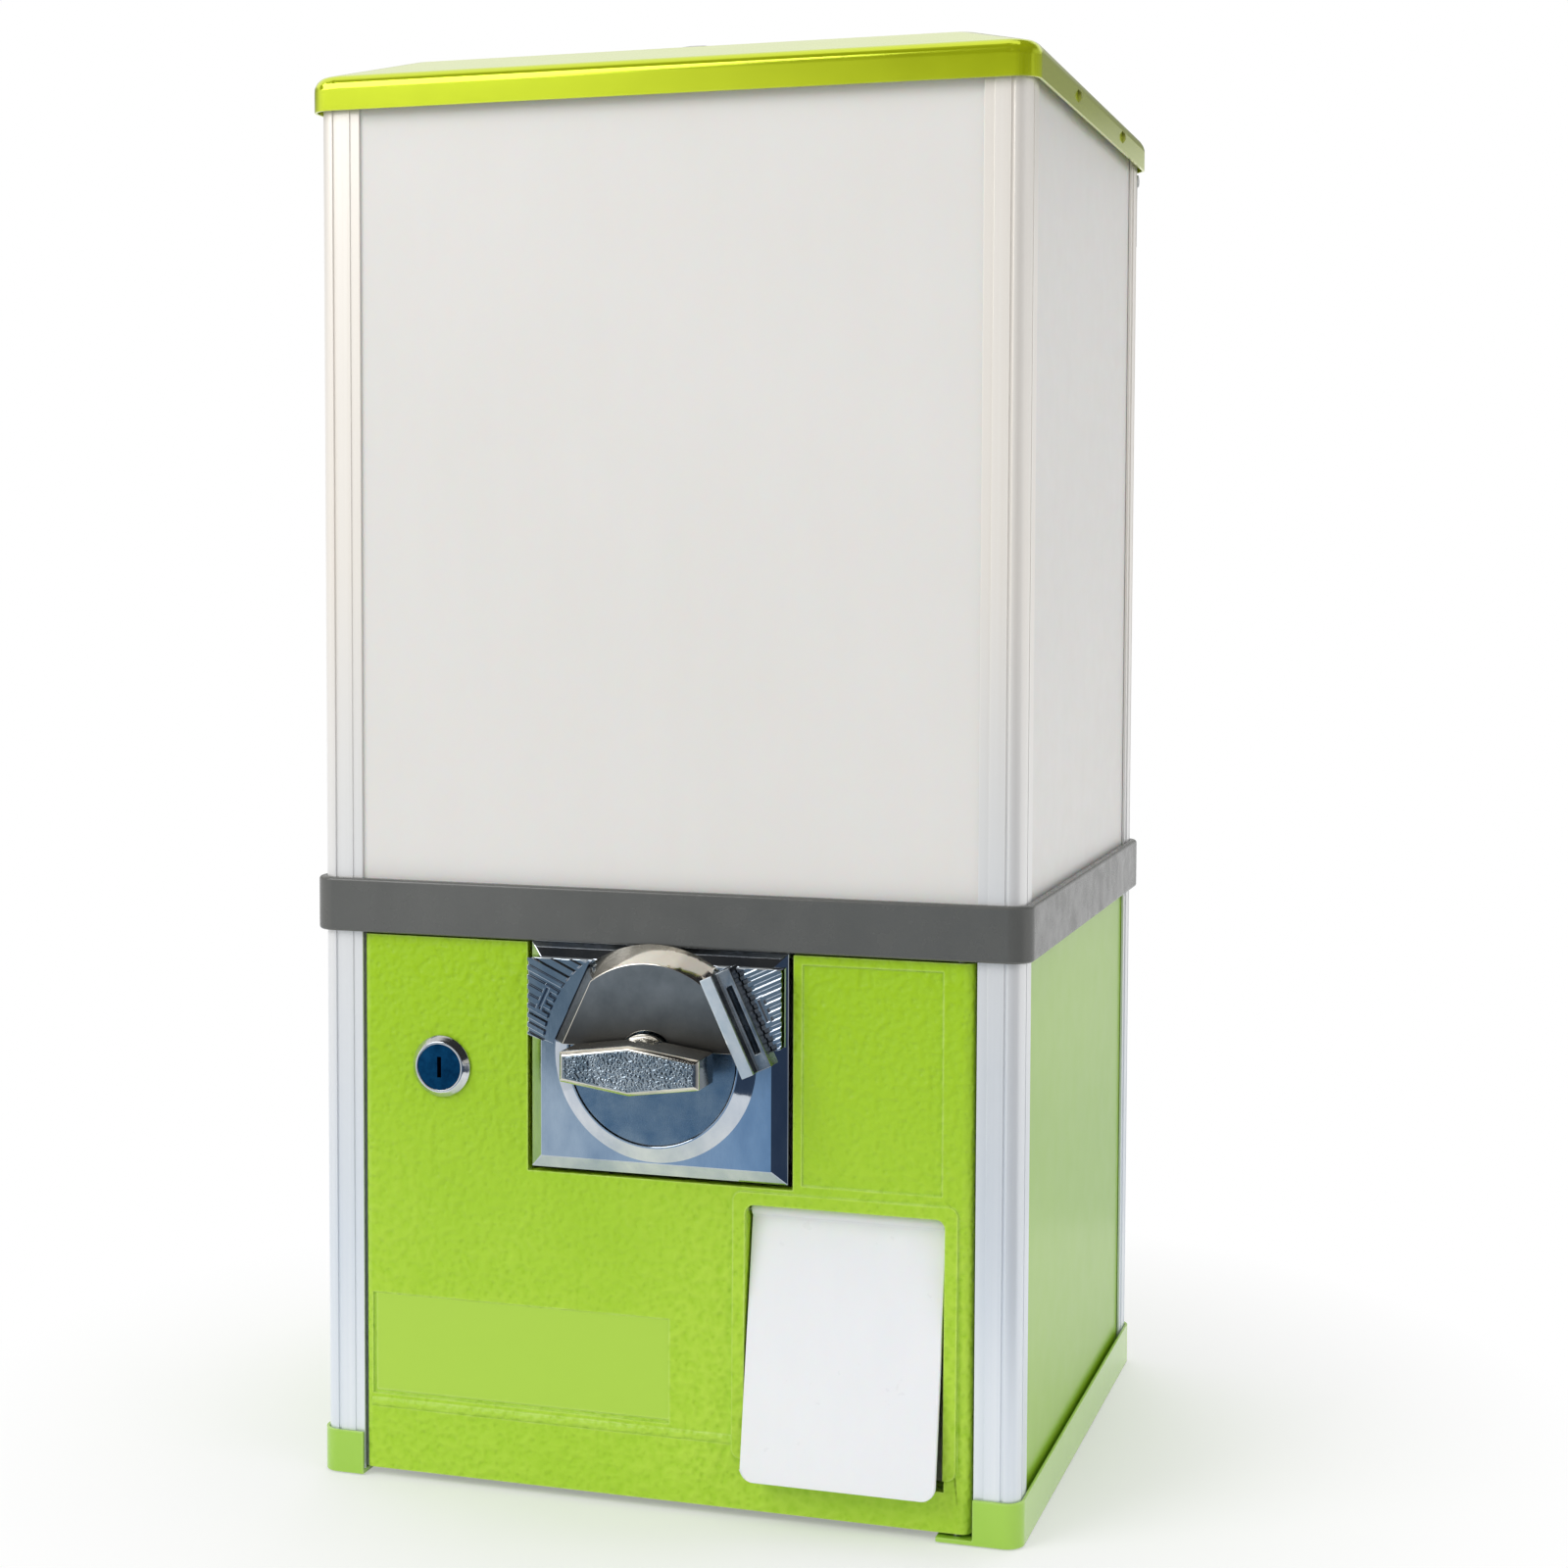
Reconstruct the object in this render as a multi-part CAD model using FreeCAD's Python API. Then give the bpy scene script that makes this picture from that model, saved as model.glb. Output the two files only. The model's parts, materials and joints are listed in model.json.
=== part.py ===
import FreeCAD
import Part
import math
import os

Vector = FreeCAD.Vector
X_AXIS = Vector(1, 0, 0)
Y_AXIS = Vector(0, 1, 0)
Z_AXIS = Vector(0, 0, 1)

# A free-standing vending cabinet for gumballs and capsules.
# Millimetres, +Z up, the front faces -Y, the origin is the middle of the base's underside.

# Clearances
fit = 0.2               # between fixed pieces that are slid together
running_fit = 0.06      # radial, round pins and shafts that turn
press_fit = 0.02        # radial, round pins and screws that stay put
face_gap = 0.3          # between flat faces that pass each other
over = 1.0              # how far a cutting tool stands past the face that it cuts

# Cabinet
cabinet_width = 313.0
cabinet_depth = 267.0
half_width = cabinet_width / 2
half_depth = cabinet_depth / 2
front = -half_depth

# Corner posts: an extrusion with a rounded corner, a groove beside it and a stepped edge
post_width = 19.0
post_core = 11.0
post_corner_radius = 6.25
post_lip = 1.6
groove_margin = 0.3
groove_width = 1.3
groove_depth = 0.6
edge_step_width = 4.3
edge_step_depth = 0.5
port_radius = 1.8
port_offset = 6.0
post_rise = 9.5         # above the lid's lower edge

# Panels in the posts' slots
panel_thickness = 3.0
panel_end_gap = 0.4
slot_width = panel_thickness + 2 * fit
panel_front = post_lip + fit
panel_back = panel_front + panel_thickness

# Base tray
base_floor = 2.0
base_wall = 1.4
base_height = 19.0
base_setback = 10.0     # of the floor's front edge, under the door
base_lug = 8.0          # of floor kept beside the hinge's axis

# Mid band and its shelf
band_bottom = 241.5
band_height = 23.5
band_wall = 3.3
band_edge_radius = 1.5
shelf_thickness = 3.0
shelf_width = 22.0
shelf_top = band_bottom + shelf_thickness

# Lid
lid_bottom = 596.5
lid_skirt = 14.0
lid_rise = 11.0
lid_hip = 32.0
lid_overhang = 3.5
lid_corner_radius = 9.0
lid_edge_radius = 6.5
lid_sheet = 1.2
lid_half_width = half_width + lid_overhang
lid_half_depth = half_depth + lid_overhang
lid_skirt_top = lid_bottom + lid_skirt
lid_top = lid_skirt_top + lid_rise
post_top = lid_bottom + post_rise

# Top frame on the posts' ends
frame_thickness = 2.0
frame_rail = 22.0
mitre_gap = 0.1         # from each rail's end to the mitre
frame_inset = 1.0
frame_top = post_top + frame_thickness

# Screws
screw_head_radius = 3.5
screw_head_height = 1.6
screw_length = 14.0

# Lid stiffeners, with their rivets
stiffener_width = 30.0
stiffener_sheet = 1.5
stiffener_setbacks = (88.0, 201.0)  # from the lid's front edge
rivet_head_radius = 3.0
rivet_head_height = 1.2
rivet_radius = 1.6
rivet_rise = 6.5        # above the lid's lower edge

# Lid hinges, one on each rear post
hinge_leaf_width = 17.0
hinge_leaf_sheet = 1.5
hinge_leaf_height = 33.0
hinge_knuckle_radius = 3.0
hinge_pin_radius = 1.2
hinge_drop = 3.5        # pin below the lid's lower edge
hinge_knuckle_length = 5.4
hinge_offset = 0.5      # pin behind the moving leaf
hinge_y = half_depth + lid_overhang + hinge_leaf_sheet + hinge_offset
hinge_z = lid_bottom - hinge_drop

# Gears: pinion on the shaft, idler above it, crown teeth under the wheel's rim.
# They stand behind the coin mechanism, and the wheel takes what is left up to the rear panel.
housing_depth = 36.5    # from the cabinet's front to the back of the mechanism's housing
housing_gear_gap = 7.5  # from the housing's back to the gears
gear_width = 9.0
housing_back = front + housing_depth
gear_front = housing_back + housing_gear_gap
gear_middle_y = gear_front + gear_width / 2
gear_back = gear_front + gear_width
gear_teeth = 10
pocket_count = 5        # one pocket for each turn of the handle
crown_teeth = gear_teeth * pocket_count
rim_margin = 7.0
well_gap = 2.5
well_wall = 2.0
well_rear_gap = 2.2     # from the well to the rear panel
well_back = half_depth - panel_back - well_rear_gap - well_wall
crown_radius = (well_back - gear_middle_y - rim_margin - well_gap) / 2
gear_module = 2 * crown_radius / crown_teeth
gear_addendum = 0.8     # this and the next three in modules
gear_dedendum = 1.2
tooth_tip = 0.275
tooth_root = 0.725
tooth_tip_half = tooth_tip * gear_module
tooth_root_half = tooth_root * gear_module
gear_pitch_radius = gear_module * gear_teeth / 2
gear_tip_radius = gear_pitch_radius + gear_addendum * gear_module
gear_root_radius = gear_pitch_radius - gear_dedendum * gear_module
gear_window_gap = 2.0   # between a gear's flat faces and the deck
stud_radius = 4.0
stud_head_radius = 6.5
stud_head_height = 1.5
lug_half = 9.0

# Hopper's deck and well
deck_thickness = 3.0
deck_edge_gap = 0.5
deck_top = shelf_top + deck_thickness
well_rise = 8.0         # above the wheel

# Dispensing wheel
crown_gap = 4.3         # from the deck to the teeth's tips
crown_tip_z = deck_top + crown_gap
crown_pitch_z = crown_tip_z + gear_addendum * gear_module
crown_root_z = crown_pitch_z + gear_dedendum * gear_module
crown_face = 11.0
drum_inset = 8.0        # inside the crown teeth's middle
drum_radius = crown_radius - drum_inset
drum_height = 35.0
rim_thickness = 5.0
rim_radius = crown_radius + rim_margin
well_radius = rim_radius + well_gap
wheel_y = gear_middle_y + crown_radius
pocket_radius = 27.0
pocket_wall = 3.0
pocket_circle = drum_radius - pocket_wall - pocket_radius
outlet_angle = -15.0
outlet_radius = 28.0
outlet_x = pocket_circle * math.cos(math.radians(outlet_angle))
outlet_y = wheel_y + pocket_circle * math.sin(math.radians(outlet_angle))
axle_radius = 8.0
axle_flange_radius = 16.0
axle_flange_height = 1.0
wheel_lift = 0.1        # above the axle's flange
wheel_bottom = deck_top + axle_flange_height + wheel_lift
wheel_top = wheel_bottom + drum_height
well_top = wheel_top + well_rise
cap_base_radius = 16.0
cap_top_radius = 5.0
cap_height = 12.0
cap_fin_length = 27.0
cap_fin_thickness = 3.0

# Hopper's funnel and outlet guard
funnel_slope = 35.0
funnel_reach = 120.0
guard_sheet = 2.0
guard_half_angle = 32.0
guard_inner_gap = 3.0
guard_inner_radius = cap_fin_length + guard_inner_gap

# Coin mechanism's front, with its axis below the gears
idler_z = crown_pitch_z - gear_pitch_radius
mech_z = idler_z - 2 * gear_pitch_radius
plate_width = 115.0
plate_below = 51.5
plate_top_gap = 0.5     # below the band
plate_proud = 4.5
plate_seat = 0.5
plate_bevel = 6.0
plate_front = front - plate_proud
plate_back = front + plate_seat
plate_half = plate_width / 2
plate_bottom = mech_z - plate_below
plate_top = band_bottom - plate_top_gap
dial_radius = 37.0
dial_gap = 0.4
dial_recess = 0.5
collar_width = 8.0
collar_height = 4.0
collar_wall = 0.8
collar_base_radius = dial_radius + collar_width
collar_front = plate_front - collar_height
hood_margin = 3.0       # outside the collar
hood_taper = 7.0
hood_height = 10.0
hood_wall = 1.8
hood_lower_edge = 5.0
hood_hub_gap = 0.8      # round the handle's hub
hood_base_radius = collar_base_radius + hood_margin
hood_flat_inset = 4.5   # of the flat, from the round base
hood_flat = hood_base_radius - hood_flat_inset
hood_front_radius = hood_base_radius - hood_taper
hood_front = plate_front - hood_height
slot_bar_angle = 25.0
slot_bar_gap = 0.8      # outside the dial
slot_bar_width = 12.2
slot_bar_length = 44.0
slot_bar_inner = dial_radius + slot_bar_gap
slot_bar_outer = slot_bar_inner + slot_bar_width
slot_ridge_width = 5.6
slot_ridge_height = 5.6
coin_slot_width = 2.5
coin_slot_length = 30.0
coin_slot_depth = 8.0
wing_height = 2.0
wing_margin = 1.0       # inside the plate's side edge
wing_outer_low = 7.0
wing_inner_low = 1.0
rib_height = 1.4
rib_width = 1.9
rib_pitch = 3.7
rib_count = 13
rib_margin = 1.5        # outside the hood's base
mark_width = 3.4
mark_length = 12.0
mark_margin = 2.4       # from the ribs' inner ends
mark_groove = 1.2

# Turn handle and shaft
handle_length = 61.0
handle_middle = 21.0
handle_end = 12.5
handle_depth = 19.5
handle_front_bevel = 1.5
handle_rim = 2.2
handle_recess = 1.2
handle_hub_radius = 12.0
handle_standoff = 3.5       # behind the handle, to the hood's face
handle_pin_radius = 1.5
shaft_radius = 5.0
shaft_in_handle = 12.0
handle_back = hood_front - handle_standoff
handle_front = handle_back - handle_depth

# Mechanism housing, hung by brackets under the shelf
housing_width = 84.0
housing_wall = 2.5
housing_below = 45.0
housing_top_gap = 3.5       # below the band's shelf
coin_exit_width = 36.0
coin_exit_depth = 22.0
housing_half = housing_width / 2
housing_bottom = mech_z - housing_below
housing_top = band_bottom - housing_top_gap
bracket_sheet = 2.0
bracket_leg = 20.0
bracket_gap = 2.0
bracket_height = 40.0
bracket_screw_radius = 1.9
bracket_screw_spread = 8.0

# Ratchet and its pawl, behind the housing
ratchet_radius = 16.0
ratchet_depth = 2.0
ratchet_teeth = 16
ratchet_width = 3.0
ratchet_face = housing_back + face_gap
ratchet_back_turn = 3.0
pawl_distance = 27.0
pawl_angle = 45.0
pawl_tip_radius = 16.8
pawl_tip_angle = 5.0
pawl_boss_radius = 4.5
pawl_root_half = 3.2
pawl_pin_radius = 2.0

# Door
door_gap = 1.0
door_bottom = 3.5
door_skin = 3.0
door_rim = 2.0
door_rim_depth = 6.5
door_edge_radius = 4.5
door_free_radius = 3.0
door_pivot_inset = 6.5
door_pin_radius = 2.0
door_pin_seat = 12.0
door_half = half_width - post_width - door_gap
door_top = band_bottom - door_gap
door_back = front + door_skin
door_pivot_x = door_half - door_pivot_inset
door_pivot_y = front + door_edge_radius
notch_gap = 2.0
notch_half = plate_half + notch_gap
notch_bottom = plate_bottom - notch_gap
field_depth = 0.8
field_margin = 4.0
label_depth = 0.4
label_edge_margin = 3.5     # from the door's free edge
label_flap_margin = 28.5    # from the flap's surround
label_bottom = 37.0
label_top = 82.0
label_groove_width = 1.6
label_groove_depth = 0.9
bead_radius = 2.6
bead_proud = 0.9
bead_gap = 4.0              # from the label's field down to the bead's middle
bead_z = label_bottom - bead_gap

# Delivery flap in the door's opening
flap_width = 84.0
flap_bottom = 18.0
flap_sheet = 2.5
flap_side_gap = 1.0
flap_edge_margin = 12.5     # from the door's hinge edge
flap_drop = 10.5            # from the notch down to the pin
flap_overlap = 2.5          # below the opening's lower edge
flap_tilt = 9.5
flap_corner_radius = 6.0
flap_barrel_radius = 3.2
flap_pin_radius = 1.5
flap_pin_depth = 8.0
flap_pin_y = front + flap_pin_depth
flap_pin_z = notch_bottom - flap_drop
flap_right = door_half - flap_edge_margin
flap_left = flap_right - flap_width
opening_left = flap_left - flap_side_gap
opening_right = flap_right + flap_side_gap
opening_bottom = flap_bottom + flap_overlap
opening_top = flap_pin_z + flap_barrel_radius
tunnel_wall = 2.0
tunnel_depth = 12.5
surround_width = 5.5
surround_top_proud = 0.8
surround_swing_gap = 0.5    # to the post, with the door wide open
surround_foot_proud = door_gap + door_pivot_inset - door_edge_radius - surround_swing_gap
surround_corner_radius = 4.0
opening_corner_radius = 4.0
lip_inset = 4.0

# Locks
bezel_radius = 13.5
bezel_height = 3.5
bezel_rim = 1.0
bezel_front_radius = 11.0
plug_face_radius = 10.0
plug_face_depth = 1.6
barrel_radius = 9.5
barrel_bore = 6.6
lock_nut_size = 13.5
lock_nut_sides = 6
lock_nut_height = 4.0
cam_thickness = 2.0
cam_half_width = 7.5
cam_stem_radius = 3.5
cam_screw_radius = 2.0
keyway_width = 1.8
keyway_length = 9.0
keyway_depth = 4.0
door_lock_inset = 37.0      # from the door's free edge
door_lock_drop = 56.2       # from the door's top
door_lock_length = 8.0
door_cam_catch = 6.0        # behind the post
door_lock_x = -door_half + door_lock_inset
door_lock_z = door_top - door_lock_drop
door_cam_reach = door_lock_inset + door_gap + door_cam_catch
lid_lock_setback = 58.0     # from the lid's front edge
lid_lock_length = 15.0
lid_cam_catch = 10.5        # under the front rail
lid_lock_y = -lid_half_depth + lid_lock_setback
lid_cam_reach = lid_lock_setback - lid_overhang - frame_rail + lid_cam_catch

# Delivery chute below the outlet
chute_wall = 2.0
chute_margin = 2.9          # beside the outlet
chute_side_gap = 1.0
chute_front_gap = 1.5
chute_throat_margin = 19.0  # in front of the outlet
chute_back_margin = 20.1    # behind the outlet
chute_ramp_rise = 120.0
chute_top_gap = 9.7         # below the opening's top
chute_flange = 7.0
chute_flange_sheet = 1.5
chute_left = min(opening_left, outlet_x - outlet_radius) - chute_margin
chute_right = opening_right + chute_side_gap
chute_front = front + tunnel_depth + chute_front_gap
chute_throat_y = outlet_y - outlet_radius - chute_throat_margin
chute_back_y = outlet_y + outlet_radius + chute_back_margin
chute_mouth_bottom = opening_bottom - chute_wall
chute_mouth_top = opening_top - chute_top_gap

# Coin box below the mechanism
box_wall = 2.0
box_height = 108.0
box_length = 128.0
box_side_gap = 4.0
box_left = -half_width + post_width + box_side_gap
box_right = chute_left - box_side_gap
box_front = chute_front


def block(x_range, y_range, z_range):
    """A box between two values along each axis."""
    corner = Vector(x_range[0], y_range[0], z_range[0])
    size = [high - low for low, high in (x_range, y_range, z_range)]
    return Part.makeBox(*size, corner)


def rod(radius, start, axis, length):
    return Part.makeCylinder(radius, length, start, axis)


def tube(outer, inner, start, axis, length):
    bore = rod(inner, start - axis * over, axis, length + 2 * over)
    return rod(outer, start, axis, length).cut(bore)


def polar(radius, degrees):
    """A point in the XY plane."""
    turn = math.radians(degrees)
    return Vector(radius * math.cos(turn), radius * math.sin(turn), 0)


def polygon_prism(points, sweep):
    """A closed outline of points, swept along a vector."""
    return Part.Face(Part.makePolygon(points + points[:1])).extrude(sweep)


def prism_x(points, x_range):
    """An outline of (y, z) points between two X values."""
    loop = [Vector(x_range[0], y, z) for y, z in points]
    return polygon_prism(loop, X_AXIS * (x_range[1] - x_range[0]))


def prism_y(points, y_range):
    """An outline of (x, z) points between two Y values."""
    loop = [Vector(x, y_range[0], z) for x, z in points]
    return polygon_prism(loop, Y_AXIS * (y_range[1] - y_range[0]))


def loft_y(stages):
    """A ruled solid through outlines of (x, z) points, each at its own Y."""
    wires = []
    for points, y in stages:
        loop = [Vector(x, y, z) for x, z in points]
        wires.append(Part.makePolygon(loop + loop[:1]))
    return Part.makeLoft(wires, True, True)


def rounded_rectangle(half_x, half_y, radius, z):
    """A closed wire with straight sides and quarter-circle corners."""
    arcs = []
    for quarter, (side_x, side_y) in enumerate(((1, 1), (-1, 1), (-1, -1), (1, -1))):
        centre = Vector(side_x * (half_x - radius), side_y * (half_y - radius), z)
        ends = [centre + polar(radius, 90 * quarter + turn) for turn in (0, 45, 90)]
        arcs.append(Part.Arc(*ends).toShape())
    edges = []
    for arc, following in zip(arcs, arcs[1:] + arcs[:1]):
        edges.append(arc)
        edges.append(Part.makeLine(arc.Vertexes[-1].Point, following.Vertexes[0].Point))
    return Part.Wire(edges)


def rounded_block(half_x, half_y, radius, z_range):
    """An upright block with rounded vertical corners."""
    outline = rounded_rectangle(half_x, half_y, radius, z_range[0])
    return Part.Face(outline).extrude(Z_AXIS * (z_range[1] - z_range[0]))


def join(first, *others):
    return first.fuse(list(others)).removeSplitter()


def level_edges(shape):
    """The edges that lie flat."""
    return [edge for edge in shape.Edges if edge.BoundBox.ZLength < fit]


def edges_along_y(shape):
    """The edges that run from front to back."""
    return [edge for edge in level_edges(shape) if edge.BoundBox.XLength < fit]


def mirrored(shape):
    """The same piece on the other side of the cabinet's middle plane."""
    return shape.mirror(Vector(0, 0, 0), X_AXIS)


def pair(shape):
    """A piece and its mirror image, as one group of separate solids."""
    return Part.makeCompound([shape, mirrored(shape)])


def corners():
    """The four corners as (side_x, side_y) signs."""
    return [(side_x, side_y) for side_y in (-1, 1) for side_x in (-1, 1)]


def port_place(side_x, side_y, z):
    """The middle of a post's screw port at a given height."""
    return Vector(side_x * (half_width - port_offset), side_y * (half_depth - port_offset), z)


# Corner posts
def post_outline():
    """Section points (along one face, depth from it), from the rounded corner to the core."""
    groove_start = post_corner_radius + groove_margin
    groove_end = groove_start + groove_width
    step_start = post_width - edge_step_width
    slot_back = post_lip + slot_width
    inner_back = slot_back + post_lip
    return [
        (post_corner_radius, 0),
        (groove_start, 0),
        (groove_start, groove_depth),
        (groove_end, groove_depth),
        (groove_end, 0),
        (step_start, 0),
        (step_start, edge_step_depth),
        (post_width, edge_step_depth),
        (post_width, post_lip),
        (post_core, post_lip),
        (post_core, slot_back),
        (post_width, slot_back),
        (post_width, inner_back),
        (post_core, inner_back),
    ]


def corner_post(side_x, side_y):
    def place(along, depth):
        return Vector(side_x * (half_width - along), side_y * (half_depth - depth), base_floor)

    one_face = post_outline()
    other_face = [(depth, along) for along, depth in reversed(one_face)]
    points = [place(*point) for point in one_face + [(post_core, post_core)] + other_face]
    arc_middle = post_corner_radius * (1 - 1 / math.sqrt(2))
    corner = Part.Arc(points[-1], place(arc_middle, arc_middle), points[0]).toShape()
    section = Part.Face(Part.Wire(Part.makePolygon(points).Edges + [corner]))
    post = section.extrude(Z_AXIS * (post_top - base_floor))
    port = rod(port_radius, port_place(side_x, side_y, base_floor), Z_AXIS, post_top - base_floor)
    return post.cut(port)


# Panels
def end_panel(side_y, z_range):
    """A panel across the front or the rear."""
    half = half_width - post_core - panel_end_gap
    depths = sorted(side_y * (half_depth - depth) for depth in (panel_front, panel_back))
    return block((-half, half), depths, z_range)


def side_panel(side_x, z_range):
    """A panel along the left or the right side."""
    half = half_depth - post_core - panel_end_gap
    depths = sorted(side_x * (half_width - depth) for depth in (panel_front, panel_back))
    return block(depths, (-half, half), z_range)


# Base tray with its front wall cut away between the posts
def base_tray():
    outside = fit + base_wall
    outer_radius = post_corner_radius + outside
    shell = rounded_block(half_width + outside, half_depth + outside, outer_radius, (0, base_height))
    inside_radius = post_corner_radius + fit
    inside_z = (base_floor, base_height + over)
    shell = shell.cut(rounded_block(half_width + fit, half_depth + fit, inside_radius, inside_z))
    mouth_half = half_width - post_width
    mouth = block((-mouth_half, mouth_half), (front - outside - over, front + over), inside_z)
    toe_x = (-mouth_half, door_pivot_x - base_lug)
    toe = block(toe_x, (front - outside - over, front + base_setback), (-over, base_floor + over))
    shell = shell.cut(join(mouth, toe))
    for side in corners():
        shell = shell.cut(countersink(port_place(*side, 0), face_gap / 2))
    pin_start = Vector(door_pivot_x, door_pivot_y, -over)
    return shell.cut(rod(door_pin_radius + running_fit, pin_start, Z_AXIS, base_floor + 2 * over))


def countersink(place, clearance):
    """The head and shank of a base screw, or its hole if it has clearance."""
    low = place - Z_AXIS * clearance
    head = Part.makeCone(screw_head_radius + clearance, port_radius, base_floor + clearance, low)
    shank = rod(port_radius - press_fit, place, Z_AXIS, base_floor + screw_length)
    return join(head, shank)


def base_screws():
    return Part.makeCompound([countersink(port_place(*side, 0), 0) for side in corners()])


# Mid band: a proud ring with a shelf that the posts pass through
def mid_band():
    outside = fit + band_wall
    z_range = (band_bottom, band_bottom + band_height)
    clear_z = (band_bottom - over, z_range[1] + over)
    ring_radius = post_corner_radius + outside
    ring = rounded_block(half_width + outside, half_depth + outside, ring_radius, z_range)
    ring = ring.makeFillet(band_edge_radius, level_edges(ring))
    cavity = rounded_block(half_width + fit, half_depth + fit, post_corner_radius + fit, clear_z)
    shelf_z = (band_bottom, shelf_top)
    shelf = rounded_block(half_width + outside / 2, half_depth + outside / 2, ring_radius, shelf_z)
    clear_x = half_width - shelf_width
    clear_y = half_depth - shelf_width
    shelf = shelf.cut(block((-clear_x, clear_x), (-clear_y, clear_y), clear_z))
    band = join(ring.cut(cavity), shelf).cut(post_clearance()).cut(gear_window(clear_z))
    pin_start = Vector(door_pivot_x, door_pivot_y, band_bottom - over)
    band = band.cut(rod(door_pin_radius + running_fit, pin_start, Z_AXIS, shelf_thickness + 2 * over))
    for place in bracket_screw_places():
        band = band.cut(rod(bracket_screw_radius + press_fit, place, Z_AXIS, 2 * bracket_height))
    return band


def post_clearance():
    """The room that the four posts take where they pass through the band's shelf."""
    shelf_z = (band_bottom - over, shelf_top + over)
    outer = rounded_block(half_width + fit, half_depth + fit, post_corner_radius + fit, shelf_z)
    middle_x = half_width - post_width - fit
    middle_y = half_depth - post_width - fit
    z_range = (band_bottom - 2 * over, shelf_top + 2 * over)
    reach_x = half_width + over
    reach_y = half_depth + over
    across = block((-middle_x, middle_x), (-reach_y, reach_y), z_range)
    along = block((-reach_x, reach_x), (-middle_y, middle_y), z_range)
    return outer.cut(across).cut(along)


def gear_window(z_range):
    """The opening that the idler passes through to reach the wheel."""
    half = gear_tip_radius + over
    return block((-half, half), (gear_front - gear_window_gap, gear_back + gear_window_gap), z_range)


# Top frame
def top_frame():
    """Four mitred rails, with a post's screw through each mitre."""
    inner_x = half_width - frame_rail
    inner_y = half_depth - frame_rail
    outline = rounded_block(
        half_width - frame_inset, half_depth - frame_inset, post_corner_radius, (post_top, frame_top))
    rails = []
    for side in (-1, 1):
        end_y = (side * half_depth, side * inner_y)
        end_x = (half_width - mitre_gap, inner_x - mitre_gap)
        end_rail = [(-end_x[0], end_y[0]), (end_x[0], end_y[0]), (end_x[1], end_y[1]), (-end_x[1], end_y[1])]
        side_x = (side * half_width, side * inner_x)
        side_y = (half_depth - mitre_gap, inner_y - mitre_gap)
        side_rail = [
            (side_x[0], -side_y[0]), (side_x[0], side_y[0]), (side_x[1], side_y[1]), (side_x[1], -side_y[1])]
        for points in (end_rail, side_rail):
            corners_low = [Vector(x, y, post_top) for x, y in points]
            rails.append(polygon_prism(corners_low, Z_AXIS * frame_thickness).common(outline))
    frame = Part.makeCompound(rails)
    for side in corners():
        start = port_place(*side, post_top - over)
        frame = frame.cut(rod(port_radius + press_fit, start, Z_AXIS, frame_thickness + 2 * over))
    return frame


def top_frame_screws():
    screws = []
    for side in corners():
        head = rod(screw_head_radius, port_place(*side, frame_top), Z_AXIS, screw_head_height)
        shank_start = port_place(*side, frame_top - screw_length)
        shank = rod(port_radius - press_fit, shank_start, Z_AXIS, screw_length)
        screws.append(join(head, shank))
    return Part.makeCompound(screws)


# Lid
def lid_form(inset, bottom, skirt_top, top):
    """The lid's skirt and hipped crown, with a rounded shoulder between them, as one solid."""
    half_x = lid_half_width - inset
    half_y = lid_half_depth - inset
    radius = lid_corner_radius - inset
    skirt = rounded_block(half_x, half_y, radius, (bottom, skirt_top))
    low = rounded_rectangle(half_x, half_y, radius, skirt_top)
    high = rounded_rectangle(half_x - lid_hip, half_y - lid_hip, radius, top)
    form = join(skirt, Part.makeLoft([low, high], True, True))
    shoulder = [edge for edge in level_edges(form) if bottom + over < edge.BoundBox.ZMin < top - over]
    return form.makeFillet(lid_edge_radius - inset, shoulder)


def lid_inside():
    """The room under the lid's sheet."""
    return lid_form(lid_sheet, lid_bottom - over, lid_skirt_top - lid_sheet / 2, lid_top - lid_sheet)


def lid():
    shell = lid_form(0, lid_bottom, lid_skirt_top, lid_top).cut(lid_inside())
    lock_start = Vector(0, lid_lock_y, lid_top - over - lid_sheet)
    shell = shell.cut(rod(barrel_radius + press_fit, lock_start, Z_AXIS, lid_sheet + 2 * over))
    for start, axis in rivet_places():
        shell = shell.cut(rod(rivet_radius + press_fit, start - axis * over, axis, lid_sheet + 2 * over))
    return shell


def rivet_places():
    """Each rivet's point on the lid's skirt, with the direction inwards."""
    places = []
    for side in (-1, 1):
        for setback in stiffener_setbacks:
            start = Vector(side * lid_half_width, setback - lid_half_depth, lid_bottom + rivet_rise)
            places.append((start, X_AXIS * -side))
    return places


def lid_stiffeners():
    """Flat strips with turned-down ends that rest on the top frame."""
    end = lid_half_width - lid_sheet
    strips = []
    for setback in stiffener_setbacks:
        middle = setback - lid_half_depth
        y_range = (middle - stiffener_width / 2, middle + stiffener_width / 2)
        low = frame_top + fit
        high = low + stiffener_sheet
        strip = block((-end, end), y_range, (low, high))
        tab = block((end - stiffener_sheet, end), y_range, (lid_bottom + stiffener_sheet, high))
        strips.append(join(strip, tab, mirrored(tab)))
    group = Part.makeCompound(strips).common(lid_inside())
    for start, axis in rivet_places():
        group = group.cut(rod(rivet_radius + press_fit, start, axis, 2 * (lid_sheet + stiffener_sheet)))
    return group


def lid_rivets():
    rivets = []
    for start, axis in rivet_places():
        head = Part.makeCone(rivet_head_radius, rivet_radius, rivet_head_height, start, axis * -1)
        rivets.append(join(head, rod(rivet_radius, start, axis, lid_sheet + stiffener_sheet)))
    return Part.makeCompound(rivets)


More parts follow.
